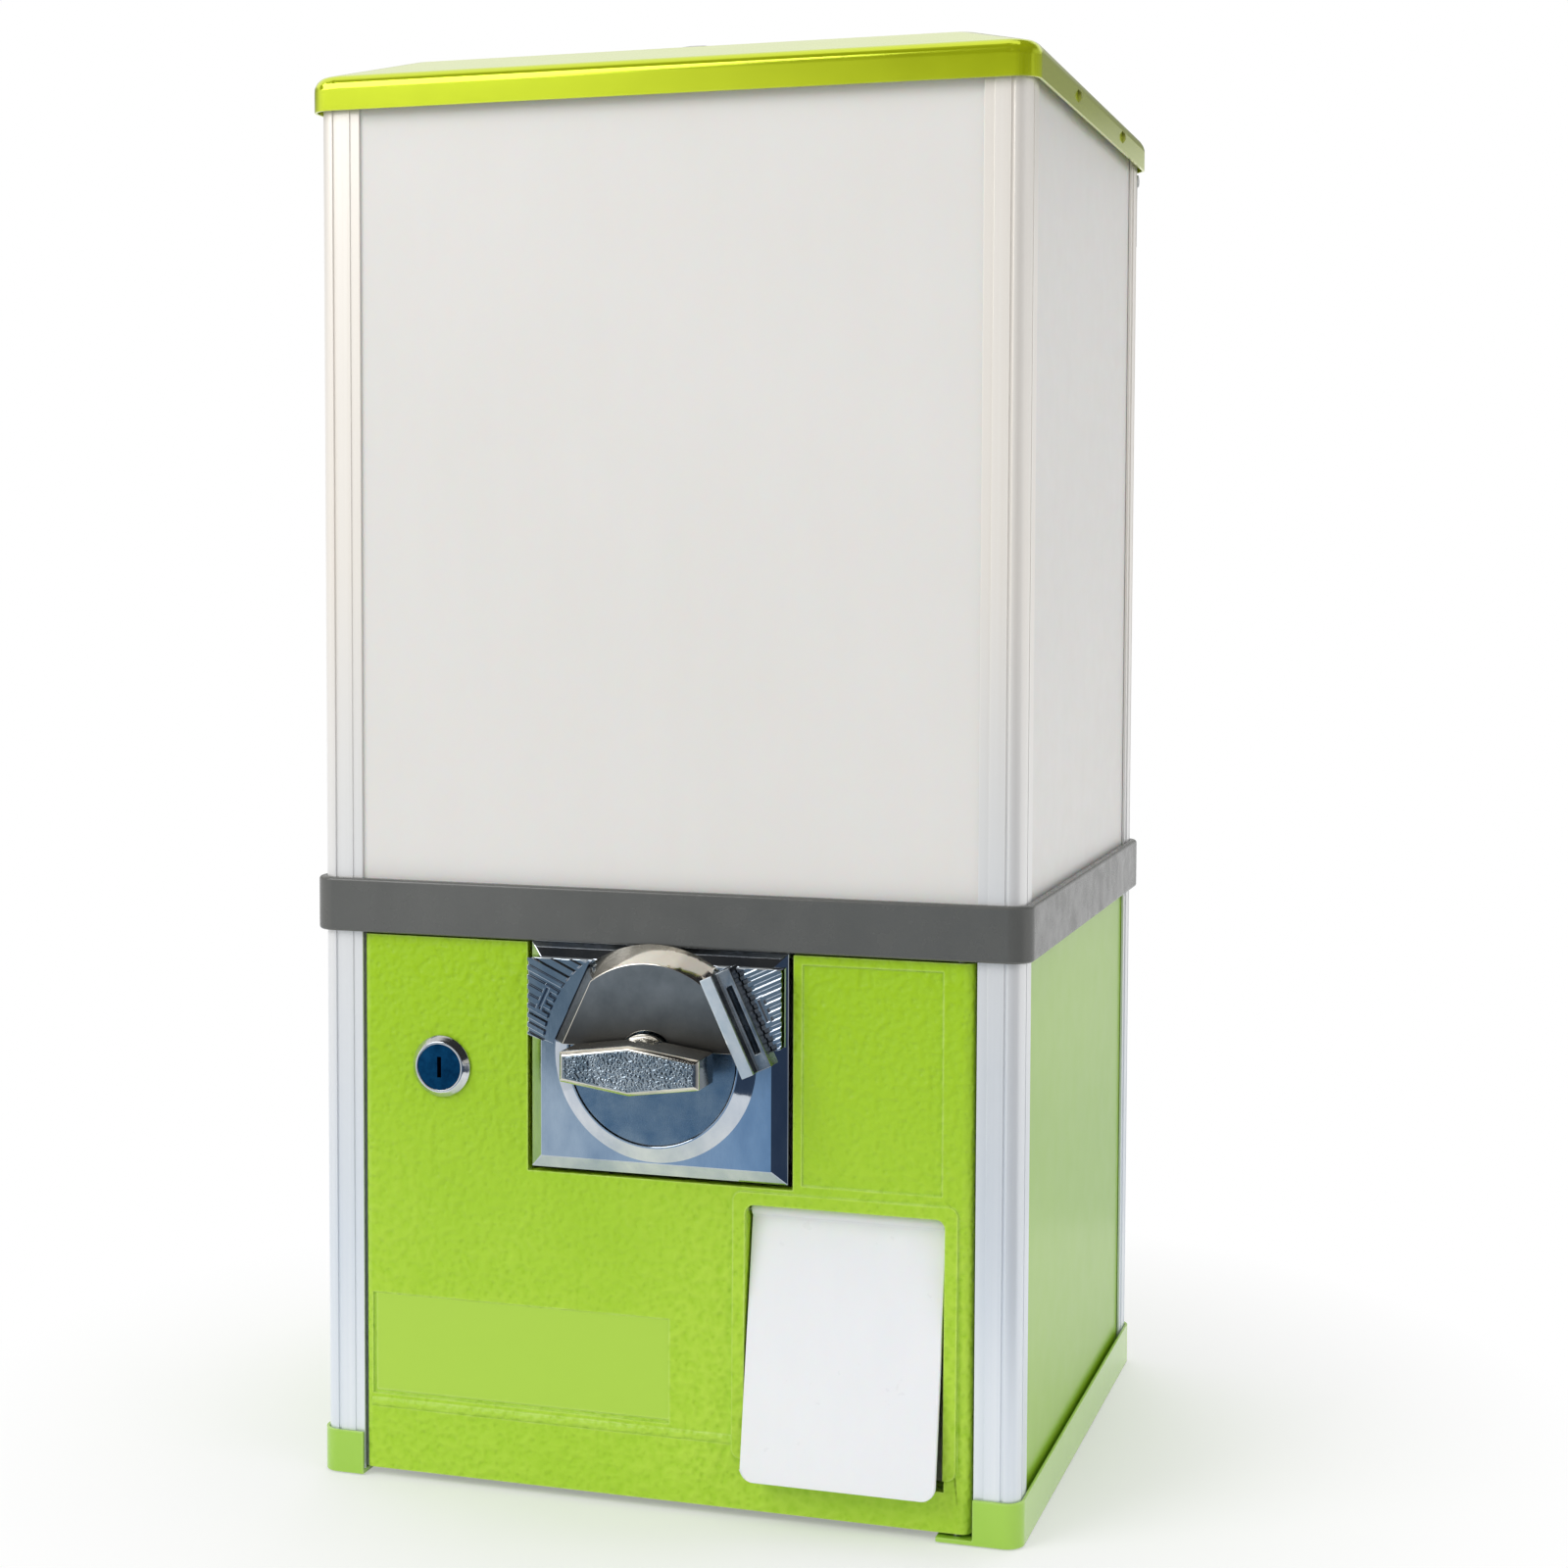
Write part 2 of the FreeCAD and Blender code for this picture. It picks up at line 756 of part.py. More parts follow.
# Lid hinges
def hinge_x(knuckle):
    """The X range of a hinge's knuckle: 0 and 2 are fixed, 1 moves."""
    middle = half_width - post_width / 2
    pitch = hinge_knuckle_length + face_gap
    start = middle + (knuckle - 1) * pitch - hinge_knuckle_length / 2
    return (start, start + hinge_knuckle_length)


def hinge_leaf_x():
    middle = half_width - post_width / 2
    return (middle - hinge_leaf_width / 2, middle + hinge_leaf_width / 2)


def hinge_knuckle(knuckle, bore):
    x_range = hinge_x(knuckle)
    start = Vector(x_range[0], hinge_y, hinge_z)
    return tube(hinge_knuckle_radius, bore, start, X_AXIS, hinge_knuckle_length)


def lid_hinge_fixed_leaves():
    bore = hinge_pin_radius + press_fit
    leaf_z = (hinge_z - hinge_leaf_height, hinge_z)
    leaf = block(hinge_leaf_x(), (half_depth, half_depth + hinge_leaf_sheet), leaf_z)
    pin_room = rod(bore, Vector(0, hinge_y, hinge_z), X_AXIS, half_width)
    for knuckle in (0, 2):
        web_z = (hinge_z - hinge_leaf_sheet, hinge_z)
        web = block(hinge_x(knuckle), (half_depth, hinge_y), web_z)
        leaf = join(leaf, web, hinge_knuckle(knuckle, bore))
    return pair(leaf.cut(pin_room))


def lid_hinge_moving_leaves():
    bore = hinge_pin_radius + running_fit
    lid_back = lid_half_depth
    leaf_z = (lid_bottom + face_gap, lid_bottom + lid_skirt - stiffener_sheet)
    leaf = block(hinge_leaf_x(), (lid_back, lid_back + hinge_leaf_sheet), leaf_z)
    web = block(hinge_x(1), (lid_back, lid_back + hinge_leaf_sheet), (hinge_z, lid_bottom + over))
    pin_room = rod(bore, Vector(0, hinge_y, hinge_z), X_AXIS, half_width)
    return pair(join(leaf, web, hinge_knuckle(1, bore)).cut(pin_room))


def lid_hinge_pins():
    start = hinge_x(0)[0]
    end = hinge_x(2)[1]
    return pair(rod(hinge_pin_radius, Vector(start, hinge_y, hinge_z), X_AXIS, end - start))


# Locks, made looking out along +Z with the cam along +X, and then put in place
def lock_pieces(panel, length, cam_reach):
    rim = rod(bezel_radius, Vector(0, 0, 0), Z_AXIS, bezel_rim)
    cone_start = Z_AXIS * bezel_rim
    cone = Part.makeCone(bezel_radius, bezel_front_radius, bezel_height - bezel_rim, cone_start, Z_AXIS)
    back = panel + lock_nut_height + length
    barrel = rod(barrel_radius, Z_AXIS * -back, Z_AXIS, back)
    bore = rod(barrel_bore, Z_AXIS * (-back - over), Z_AXIS, back + bezel_height + 2 * over)
    housing = join(rim, cone, barrel).cut(bore)
    face_start = bezel_height - plug_face_depth
    housing = housing.cut(rod(plug_face_radius, Z_AXIS * face_start, Z_AXIS, plug_face_depth + over))
    nut_turn = 360 / lock_nut_sides
    nut_points = [polar(lock_nut_size, nut_turn * side) + Z_AXIS * -panel for side in range(lock_nut_sides)]
    nut = polygon_prism(nut_points, Z_AXIS * -lock_nut_height)
    nut = nut.cut(rod(barrel_radius + press_fit, Z_AXIS * -back, Z_AXIS, back))
    plug = plug_solid(back, face_start)
    cam_top = -back - face_gap
    cam = cam_solid(cam_top, cam_reach)
    screw_head_z = cam_top - cam_thickness
    head = rod(cam_stem_radius + over, Z_AXIS * (screw_head_z - cam_thickness), Z_AXIS, cam_thickness)
    shank = rod(cam_screw_radius, Z_AXIS * screw_head_z, Z_AXIS, lock_nut_height + cam_thickness)
    return {"housing": housing, "nut": nut, "plug": plug, "cam": cam, "cam_screw": join(head, shank)}


def plug_solid(back, face_start):
    """The turning plug: face with keyway, body, and the stem that carries the cam."""
    face_radius = plug_face_radius - running_fit
    face = rod(face_radius, Z_AXIS * (face_start + running_fit), Z_AXIS, plug_face_depth - fit)
    body_length = back + face_start + face_gap + running_fit
    body = rod(barrel_bore - running_fit, Z_AXIS * (-back - face_gap), Z_AXIS, body_length)
    stem = rod(cam_stem_radius, Z_AXIS * (-back - face_gap - cam_thickness), Z_AXIS, back)
    plug = join(face, body, stem)
    keyway = block(
        (-keyway_length / 2, keyway_length / 2),
        (-keyway_width / 2, keyway_width / 2),
        (bezel_height - keyway_depth, bezel_height + over))
    screw_start = Z_AXIS * (-back - face_gap - cam_thickness - over)
    hole_length = lock_nut_height + cam_thickness + over + fit
    screw_hole = rod(cam_screw_radius + press_fit, screw_start, Z_AXIS, hole_length)
    return plug.cut(keyway).cut(screw_hole)


def cam_solid(cam_top, cam_reach):
    """A flat cam with a round boss end."""
    low = cam_top - cam_thickness
    boss = rod(cam_half_width, Z_AXIS * low, Z_AXIS, cam_thickness)
    arm = block((0, cam_reach), (-cam_half_width, cam_half_width), (low, cam_top))
    hole = rod(cam_stem_radius + press_fit, Z_AXIS * (low - over), Z_AXIS, cam_thickness + 2 * over)
    return join(boss, arm).cut(hole)


def placed_lock(pieces, place, cam_axis, side_axis, out_axis):
    turned = FreeCAD.Placement(place, FreeCAD.Rotation(cam_axis, side_axis, out_axis, "ZXY"))
    result = {}
    for name, shape in pieces.items():
        moved = shape.copy()
        moved.Placement = turned.multiply(moved.Placement)
        result[name] = moved
    return result


def door_lock():
    pieces = lock_pieces(door_skin, door_lock_length, door_cam_reach)
    place = Vector(door_lock_x, front, door_lock_z)
    return placed_lock(pieces, place, Z_AXIS * -1, X_AXIS, Y_AXIS * -1)


def lid_lock():
    pieces = lock_pieces(lid_sheet, lid_lock_length - lock_nut_height, lid_cam_reach)
    return placed_lock(pieces, Vector(0, lid_lock_y, lid_top), X_AXIS, Y_AXIS, Z_AXIS)


# Front door
def front_door():
    """A moulded door: skin, rims, a rounded hinge edge, the mechanism's notch and the flap's opening."""
    round_x = door_half - door_edge_radius
    z_range = (door_bottom, door_top)
    door = block((-door_half, round_x), (front, door_back), z_range)
    edge_start = Vector(round_x, door_pivot_y, door_bottom)
    edge = rod(door_edge_radius, edge_start, Z_AXIS, door_top - door_bottom)
    edge_block = block((opening_right, round_x), (front, front + 2 * door_edge_radius), z_range)
    door = join(door, edge, edge_block, door_rims())
    free_edge = [line for line in door.Edges if is_free_edge(line.BoundBox)]
    door = door.makeFillet(door_free_radius, free_edge)
    door = join(door, door_bead(), flap_surround())
    door = door.cut(door_fields())
    notch_z = (notch_bottom, door_top + over)
    door = door.cut(block((-notch_half, notch_half), (front - over, 0), notch_z))
    door = door.cut(flap_opening())
    door = door.cut(rod(flap_pin_radius + press_fit, flap_pin_start(), X_AXIS, flap_pin_length()))
    for start, length in door_pins():
        door = door.cut(rod(door_pin_radius + press_fit, start, Z_AXIS, length))
    lock_start = Vector(door_lock_x, front - over, door_lock_z)
    return door.cut(rod(barrel_radius + press_fit, lock_start, Y_AXIS, door_skin + 2 * over))


def is_free_edge(box):
    """Whether an edge's box is that of the upright edge in front, away from the hinge."""
    return box.XMax < fit - door_half and box.YMax < front + fit


def door_bead():
    """A half-round bead across the face, from the free edge to the flap's surround."""
    start_x = door_free_radius - door_half
    length = opening_left - surround_width - start_x
    middle = Vector(start_x, front + bead_radius - bead_proud, bead_z)
    face = block((start_x, opening_left), (front - bead_radius, door_back), (door_bottom, label_top))
    return rod(bead_radius, middle, X_AXIS, length).common(face)


def door_rims():
    """Turned edges: round the door's outline and round the notch."""
    y_range = (front, front + door_rim_depth)
    notch_outer = notch_half + door_rim
    notch_low = notch_bottom - door_rim
    free_side = block((-door_half, -door_half + door_rim), y_range, (door_bottom, door_top))
    bottom = block((-door_half, opening_right), y_range, (door_bottom, door_bottom + door_rim))
    top = block((-door_half, door_pivot_x), y_range, (door_top - door_rim, door_top))
    notch = block((-notch_outer, notch_outer), y_range, (notch_low, door_top))
    return join(free_side, bottom, top, notch)


def flap_surround():
    """A frame that rises towards its foot, and behind it the tunnel with a lip that the flap rests on."""
    low = opening_bottom + surround_width
    high = opening_top + surround_width
    wedge = [
        (front + over, low),
        (front - surround_foot_proud, low),
        (front - surround_top_proud, high),
        (front + over, high)]
    raised = prism_x(wedge, (opening_left - surround_width, opening_right + surround_width))
    raised = raised.makeFillet(surround_corner_radius, edges_along_y(raised))
    tunnel = block(
        (opening_left - tunnel_wall, opening_right + tunnel_wall),
        (front, front + tunnel_depth),
        (opening_bottom - tunnel_wall, opening_top + tunnel_wall))
    drop = flap_pin_z - opening_bottom
    flap_back = flap_pin_y - drop * math.tan(math.radians(flap_tilt)) + flap_sheet / 2
    lip = block(
        (flap_left + lip_inset, flap_right - lip_inset),
        (flap_back + face_gap, front + over),
        (opening_bottom - tunnel_wall, opening_bottom))
    return join(raised, tunnel, lip)


def flap_opening():
    """The way through the door: rounded upper corners in the skin, and square ones in the tunnel."""
    x_range = (opening_left, opening_right)
    z_range = (opening_bottom, opening_top)
    face = block(x_range, (front - surround_foot_proud - over, door_back), z_range)
    upper = [edge for edge in edges_along_y(face) if edge.BoundBox.ZMin > flap_pin_z]
    face = face.makeFillet(opening_corner_radius, upper)
    return join(face, block(x_range, (door_back, front + tunnel_depth + over), z_range))


def door_fields():
    """Shallow recesses: beside the mechanism, and a plain field for a label with a groove on two sides."""
    low = opening_top + surround_width + field_margin
    side = block(
        (notch_half + field_margin, door_half - 2 * door_edge_radius - field_margin),
        (front - over, front + field_depth),
        (low, door_top - field_margin))
    label_x = (-door_half + label_edge_margin, opening_left - surround_width - label_flap_margin)
    label_z = (label_bottom, label_top)
    groove_y = (front - over, front + label_groove_depth)
    label = block(label_x, (front - over, front + label_depth), label_z)
    upright = block((label_x[0], label_x[0] + label_groove_width), groove_y, label_z)
    level = block(label_x, groove_y, (label_bottom, label_bottom + label_groove_width))
    return join(side, label, upright, level)


def door_pins():
    """The start and length of the lower and the upper hinge pin."""
    lower = Vector(door_pivot_x, door_pivot_y, fit)
    upper = Vector(door_pivot_x, door_pivot_y, door_top - door_pin_seat)
    lower_length = door_bottom + door_pin_seat - fit
    upper_length = door_pin_seat + door_gap + shelf_thickness - fit
    return [(lower, lower_length), (upper, upper_length)]


def door_hinge_pins():
    pins = [rod(door_pin_radius, start, Z_AXIS, length) for start, length in door_pins()]
    return Part.makeCompound(pins)


def flap_pin_start():
    return Vector(opening_left - tunnel_wall, flap_pin_y, flap_pin_z)


def flap_pin_length():
    return opening_right - opening_left + 2 * tunnel_wall


def flap_pin():
    return rod(flap_pin_radius, flap_pin_start(), X_AXIS, flap_pin_length())


# Delivery flap, hanging on its pin and tilted out at the bottom
def delivery_flap():
    sheet_y = (flap_pin_y - flap_sheet / 2, flap_pin_y + flap_sheet / 2)
    sheet = block((flap_left, flap_right), sheet_y, (flap_bottom, flap_pin_z))
    lower_corners = [
        edge for edge in sheet.Edges
        if edge.BoundBox.YLength > flap_sheet / 2 and edge.BoundBox.ZMax < flap_bottom + over]
    sheet = sheet.makeFillet(flap_corner_radius, lower_corners)
    start = Vector(flap_left, flap_pin_y, flap_pin_z)
    flap = join(sheet, rod(flap_barrel_radius, start, X_AXIS, flap_width))
    bore_start = start - X_AXIS * over
    flap = flap.cut(rod(flap_pin_radius + running_fit, bore_start, X_AXIS, flap_width + 2 * over))
    flap.rotate(start, X_AXIS, -flap_tilt)
    return flap


# Coin mechanism's front
def mech_centre(y):
    return Vector(0, y, mech_z)


def slanted_block(x_range, y_range, z_range):
    """A block turned about the mechanism's axis to the coin slot's slant."""
    slanted = block(x_range, y_range, z_range)
    slanted.rotate(mech_centre(0), Y_AXIS, -slot_bar_angle)
    return slanted


def slot_bar_footprint(clearance, y_range):
    """The coin slot's outline on the plate, turned to its place beside the hood."""
    half = slot_bar_length / 2 + clearance
    x_range = (slot_bar_inner - clearance, slot_bar_outer + clearance)
    return slanted_block(x_range, y_range, (mech_z - half, mech_z + half))


def beside_hood(base):
    """The room beyond the hood's tapered flat, on the side away from the coin slot."""
    slope = hood_taper / hood_height
    outline = [
        (base + slope * over, plate_front + over),
        (base - slope * (hood_height + over), hood_front - over),
        (plate_width, hood_front - over),
        (plate_width, plate_front + over)]
    corners_low = [Vector(x, y, mech_z - plate_width) for x, y in outline]
    room = polygon_prism(corners_low, Z_AXIS * 2 * plate_width)
    room.rotate(mech_centre(0), Y_AXIS, -slot_bar_angle)
    return mirrored(room)


def plate_outline(inset):
    """The plate's four corners as (x, z), drawn in by an inset."""
    half = plate_half - inset
    low = plate_bottom + inset
    high = plate_top - inset
    return [(-half, low), (half, low), (half, high), (-half, high)]


def mech_plate():
    """A bevelled plate with a conical collar round the dial and a ribbed wing on each side of the hood."""
    raised = loft_y([(plate_outline(0), front), (plate_outline(plate_bevel), plate_front)])
    seat = prism_y(plate_outline(0), (front, plate_back))
    outwards = Y_AXIS * -1
    base = mech_centre(plate_front)
    dial_room_radius = dial_radius + dial_gap
    collar = Part.makeCone(
        collar_base_radius, dial_room_radius + collar_wall, collar_height, base, outwards)
    collar = collar.cut(rod(dial_room_radius, base, outwards, collar_height + over))
    hood_low = mech_z + hood_lower_edge - face_gap
    above = block((-plate_width, 0), (hood_front, plate_front), (hood_low, plate_top))
    collar = collar.cut(beside_hood(hood_flat - hood_wall - face_gap).common(above))
    hood_room = rod(hood_base_radius + face_gap, base, outwards, hood_height)
    right_wing = mech_wing().cut(hood_room)
    left_wing = mirrored(mech_wing()).cut(hood_room.cut(beside_hood(hood_flat + face_gap)))
    plate = join(raised, seat, collar, right_wing, left_wing)
    plate = plate.cut(slot_bar_footprint(fit, (plate_front - 2 * hood_height, plate_front)))
    shaft_start = mech_centre(plate_front - over)
    return plate.cut(rod(shaft_radius + running_fit, shaft_start, Y_AXIS, 2 * plate_proud + 2 * over))


def mech_wing():
    """The right-hand wing: a raised field with slanting ribs and a small slotted frame among them."""
    outer_x = plate_half - wing_margin
    top = plate_top - plate_bevel
    outline = [
        (0, top),
        (outer_x, top),
        (outer_x, mech_z + wing_outer_low),
        (slot_bar_inner, mech_z + wing_inner_low)]
    field_front = plate_front - wing_height
    rib_y = (field_front - rib_height, field_front)
    wing = prism_y(outline, (field_front, front))
    ribs = []
    for number in range(rib_count):
        low = mech_z - slot_bar_length / 2 + number * rib_pitch
        ribs.append(slanted_block((0, plate_width), rib_y, (low, low + rib_width)))
    ribs = Part.makeCompound(ribs).common(prism_y(outline, rib_y))
    ribs = ribs.cut(rod(hood_base_radius + rib_margin, mech_centre(rib_y[0]), Y_AXIS, rib_height))
    mark_start = slot_bar_outer + mark_margin
    mark_x = (mark_start, mark_start + mark_width)
    mark_half = mark_length / 2
    mark = slanted_block(mark_x, rib_y, (mech_z - mark_half, mech_z + mark_half))
    edge = (mark_width - mark_groove) / 2
    groove = slanted_block(
        (mark_x[0] + edge, mark_x[1] - edge),
        (rib_y[0] - over, rib_y[1]),
        (mech_z - mark_half + edge, mech_z + mark_half - edge))
    return join(wing, *ribs.Solids, mark).cut(groove)


def coin_hood():
    """A hollow tapered hood over the upper half of the dial, with a flat on the side away from the slot."""
    base = mech_centre(plate_front)
    outwards = Y_AXIS * -1
    outer = Part.makeCone(hood_base_radius, hood_front_radius, hood_height, base, outwards)
    inner_height = hood_height - hood_wall
    inner = Part.makeCone(hood_base_radius - hood_wall, hood_front_radius, inner_height, base, outwards)
    hood = outer.cut(beside_hood(hood_flat)).cut(inner.cut(beside_hood(hood_flat - hood_wall)))
    below = block(
        (-plate_width, plate_width),
        (hood_front - over, plate_front + over),
        (mech_z - plate_width, mech_z + hood_lower_edge))
    hub_start = mech_centre(hood_front - over)
    hub_room = rod(handle_hub_radius + hood_hub_gap, hub_start, Y_AXIS, hood_height + 2 * over)
    bar_room = slot_bar_footprint(fit, (hood_front - over, plate_front + over))
    return hood.cut(below).cut(hub_room).cut(bar_room)


def coin_slot():
    """The coin bar: a low step with the slot in it, and a tall ridge on the dial's side."""
    step = slot_bar_footprint(0, (hood_front, plate_front))
    half = slot_bar_length / 2
    ridge_x = (slot_bar_inner, slot_bar_inner + slot_ridge_width)
    ridge_y = (hood_front - slot_ridge_height, hood_front)
    ridge = slanted_block(ridge_x, ridge_y, (mech_z - half, mech_z + half))
    slot_middle = (slot_bar_inner + slot_ridge_width + slot_bar_outer) / 2
    slot = slanted_block(
        (slot_middle - coin_slot_width / 2, slot_middle + coin_slot_width / 2),
        (hood_front - over, hood_front + coin_slot_depth),
        (mech_z - coin_slot_length / 2, mech_z + coin_slot_length / 2))
    return join(step, ridge).cut(slot)


# Turning group
def coin_dial():
    back = plate_front - face_gap
    thickness = collar_height - dial_recess - face_gap
    return tube(dial_radius, shaft_radius + press_fit, mech_centre(back - thickness), Y_AXIS, thickness)


def handle_outline(inset):
    """The handle's six corners as (x, z), drawn in by an inset."""
    end_x = handle_length / 2 - inset
    end_z = handle_end / 2 - inset
    middle_z = handle_middle / 2 - inset
    upper = [(end_x, end_z), (0, middle_z), (-end_x, end_z)]
    lower = [(-x, -z) for x, z in upper]
    return [(x, mech_z + z) for x, z in upper + lower]


def turn_handle():
    """A six-sided bar with a bevelled rim round a sunk face, on a round hub."""
    bevel_y = handle_front + handle_front_bevel
    bar = prism_y(handle_outline(0), (bevel_y, handle_back))
    bevel = loft_y([(handle_outline(0), bevel_y), (handle_outline(handle_front_bevel), handle_front)])
    hub_length = collar_front + dial_recess - handle_back
    hub = rod(handle_hub_radius, mech_centre(handle_back), Y_AXIS, hub_length)
    sunk_y = (handle_front - over, handle_front + handle_recess)
    sunk = prism_y(handle_outline(handle_front_bevel + handle_rim), sunk_y)
    bore_start = mech_centre(handle_back - shaft_in_handle)
    bore = rod(shaft_radius + press_fit, bore_start, Y_AXIS, shaft_in_handle + hub_length + over)
    handle = join(bar, bevel, hub).cut(sunk).cut(bore)
    return handle.cut(rod(handle_pin_radius + press_fit, handle_pin_start(), Z_AXIS, handle_middle))


def handle_pin_start():
    return Vector(0, handle_back - shaft_in_handle / 2, mech_z - handle_middle / 2)


def handle_pin():
    return rod(handle_pin_radius, handle_pin_start() + Z_AXIS * over, Z_AXIS, handle_middle - 2 * over)


def drive_shaft():
    start = handle_back - shaft_in_handle + fit
    shaft = rod(shaft_radius, mech_centre(start), Y_AXIS, gear_back + 2 * over - start)
    return shaft.cut(rod(handle_pin_radius + press_fit, handle_pin_start(), Z_AXIS, handle_middle))


def ratchet_wheel():
    points = []
    for tooth in range(ratchet_teeth):
        turn = tooth * 360.0 / ratchet_teeth
        points.append(polar(ratchet_radius, turn))
        points.append(polar(ratchet_radius - ratchet_depth, turn + ratchet_back_turn))
    outline = [(point.x, mech_z + point.y) for point in points]
    wheel = prism_y(outline, (ratchet_face, ratchet_face + ratchet_width))
    bore = rod(shaft_radius + press_fit, mech_centre(ratchet_face - over), Y_AXIS, ratchet_width + 2 * over)
    return wheel.cut(bore)


def pawl_pivot(y):
    place = polar(pawl_distance, pawl_angle)
    return Vector(place.x, y, mech_z + place.y)


def ratchet_pawl():
    """A pointed lever beside the ratchet wheel, held clear of the teeth."""
    pivot = pawl_pivot(ratchet_face)
    tip = polar(pawl_tip_radius, pawl_tip_angle)
    tip = Vector(tip.x, ratchet_face, mech_z + tip.y)
    across = (tip - pivot).cross(Y_AXIS).normalize() * pawl_root_half
    arm = polygon_prism([pivot + across, tip, pivot - across], Y_AXIS * ratchet_width)
    boss = rod(pawl_boss_radius, pivot, Y_AXIS, ratchet_width)
    bore = rod(pawl_pin_radius + running_fit, pivot - Y_AXIS * over, Y_AXIS, ratchet_width + 2 * over)
    return join(arm, boss).cut(bore)


def pawl_pin():
    start = housing_back - housing_wall
    return rod(pawl_pin_radius, pawl_pivot(start), Y_AXIS, ratchet_face + ratchet_width + over - start)


def spur_gear(centre_z, first_tooth, bore_radius):
    """A gear about an axis along Y, with straight-sided teeth and free backlash."""
    points = []
    for tooth in range(gear_teeth):
        middle = first_tooth + tooth * 360.0 / gear_teeth
        root_turn = math.degrees(math.atan(tooth_root_half / gear_root_radius))
        tip_turn = math.degrees(math.atan(tooth_tip_half / gear_tip_radius))
        points.append(polar(gear_root_radius, middle - root_turn))
        points.append(polar(gear_tip_radius, middle - tip_turn))
        points.append(polar(gear_tip_radius, middle + tip_turn))
        points.append(polar(gear_root_radius, middle + root_turn))
    outline = [(point.x, centre_z + point.y) for point in points]
    gear = prism_y(outline, (gear_front, gear_back))
    bore = rod(bore_radius, Vector(0, gear_front - over, centre_z), Y_AXIS, gear_width + 2 * over)
    return gear.cut(bore)


def drive_pinion():
    """The pinion has a gap at the top, where the idler's tooth enters."""
    return spur_gear(mech_z, 90 + 180.0 / gear_teeth, shaft_radius + press_fit)


def idler_gear():
    return spur_gear(idler_z, 90, stud_radius + running_fit)


def idler_stud():
    """A shouldered stud in the housing's lug, with a head that keeps the idler on."""
    start = housing_back - housing_wall
    end = gear_back + face_gap
    shank = rod(stud_radius, Vector(0, start, idler_z), Y_AXIS, end - start)
    shoulder_length = gear_front - face_gap - housing_back
    shoulder = rod(stud_head_radius, Vector(0, housing_back, idler_z), Y_AXIS, shoulder_length)
    head = rod(stud_head_radius, Vector(0, end, idler_z), Y_AXIS, stud_head_height)
    return join(shank, shoulder, head)


# Mechanism housing and brackets
def mech_housing():
    """A cast box, open at the front against the plate, with a lug for the idler's stud."""
    z_range = (housing_bottom, housing_top)
    housing = block((-housing_half, housing_half), (plate_back, housing_back), z_range)
    wall_y = (housing_back - housing_wall, housing_back)
    lug = block((-lug_half, lug_half), wall_y, (mech_z, idler_z + stud_head_radius + over))
    inner_half = housing_half - housing_wall
    cavity = block(
        (-inner_half, inner_half),
        (plate_back - over, housing_back - housing_wall),
        (z_range[0] + housing_wall, z_range[1] - housing_wall))
    exit_half = coin_exit_width / 2
    exit_front = plate_back + housing_wall
    coin_exit = block(
        (-exit_half, exit_half), (exit_front, exit_front + coin_exit_depth), (z_range[0] - over, mech_z))
    housing = join(housing.cut(cavity), lug).cut(coin_exit)
    start = housing_back - housing_wall - over
    depth = housing_wall + 2 * over
    housing = housing.cut(rod(shaft_radius + running_fit, mech_centre(start), Y_AXIS, depth))
    housing = housing.cut(rod(stud_radius + press_fit, Vector(0, start, idler_z), Y_AXIS, depth))
    return housing.cut(rod(pawl_pin_radius + press_fit, pawl_pivot(start), Y_AXIS, depth))


def bracket_y():
    """The brackets' range along Y, under the front shelf and behind the door's rims."""
    return (front + door_rim_depth + bracket_gap, front + shelf_width)


def bracket_screw_places():
    """Points below each bracket screw's head."""
    middle_y = sum(bracket_y()) / 2
    middle_x = housing_half + bracket_sheet + bracket_leg / 2
    low = band_bottom - bracket_sheet
    half_spread = bracket_screw_spread / 2
    return [
        Vector(side * middle_x, middle_y + offset, low)
        for side in (-1, 1) for offset in (-half_spread, half_spread)]


def mech_brackets():
    """Two angles: one leg on the housing's side, one under the shelf."""
    upright = block(
        (housing_half, housing_half + bracket_sheet),
        bracket_y(),
        (band_bottom - bracket_height, band_bottom))
    flat = block(
        (housing_half, housing_half + bracket_sheet + bracket_leg),
        bracket_y(),
        (band_bottom - bracket_sheet, band_bottom))
    brackets = pair(join(upright, flat))
    for place in bracket_screw_places():
        start = place - Z_AXIS * over
        brackets = brackets.cut(rod(bracket_screw_radius + press_fit, start, Z_AXIS, bracket_height))
    return brackets


def mech_screws():
    screws = []
    length = bracket_sheet + shelf_thickness + deck_thickness - fit
    for place in bracket_screw_places():
        head = rod(screw_head_radius, place - Z_AXIS * screw_head_height, Z_AXIS, screw_head_height)
        screws.append(join(head, rod(bracket_screw_radius, place, Z_AXIS, length)))
    return Part.makeCompound(screws)


# Hopper
def inside_x():
    """Half the width between the side panels."""
    return half_width - panel_back - deck_edge_gap


def inside_y():
    """Half the depth between the end panels."""
    return half_depth - panel_back - deck_edge_gap


def inside_prism(z_range):
    """The room between the panels, with the posts' corners left out."""
    room = block((-inside_x(), inside_x()), (-inside_y(), inside_y()), z_range)
    for side_x, side_y in corners():
        x_range = sorted((side_x * (half_width - post_width - deck_edge_gap), side_x * half_width))
        y_range = sorted((side_y * (half_depth - post_width - deck_edge_gap), side_y * half_depth))
        room = room.cut(block(x_range, y_range, (z_range[0] - over, z_range[1] + over)))
    return room


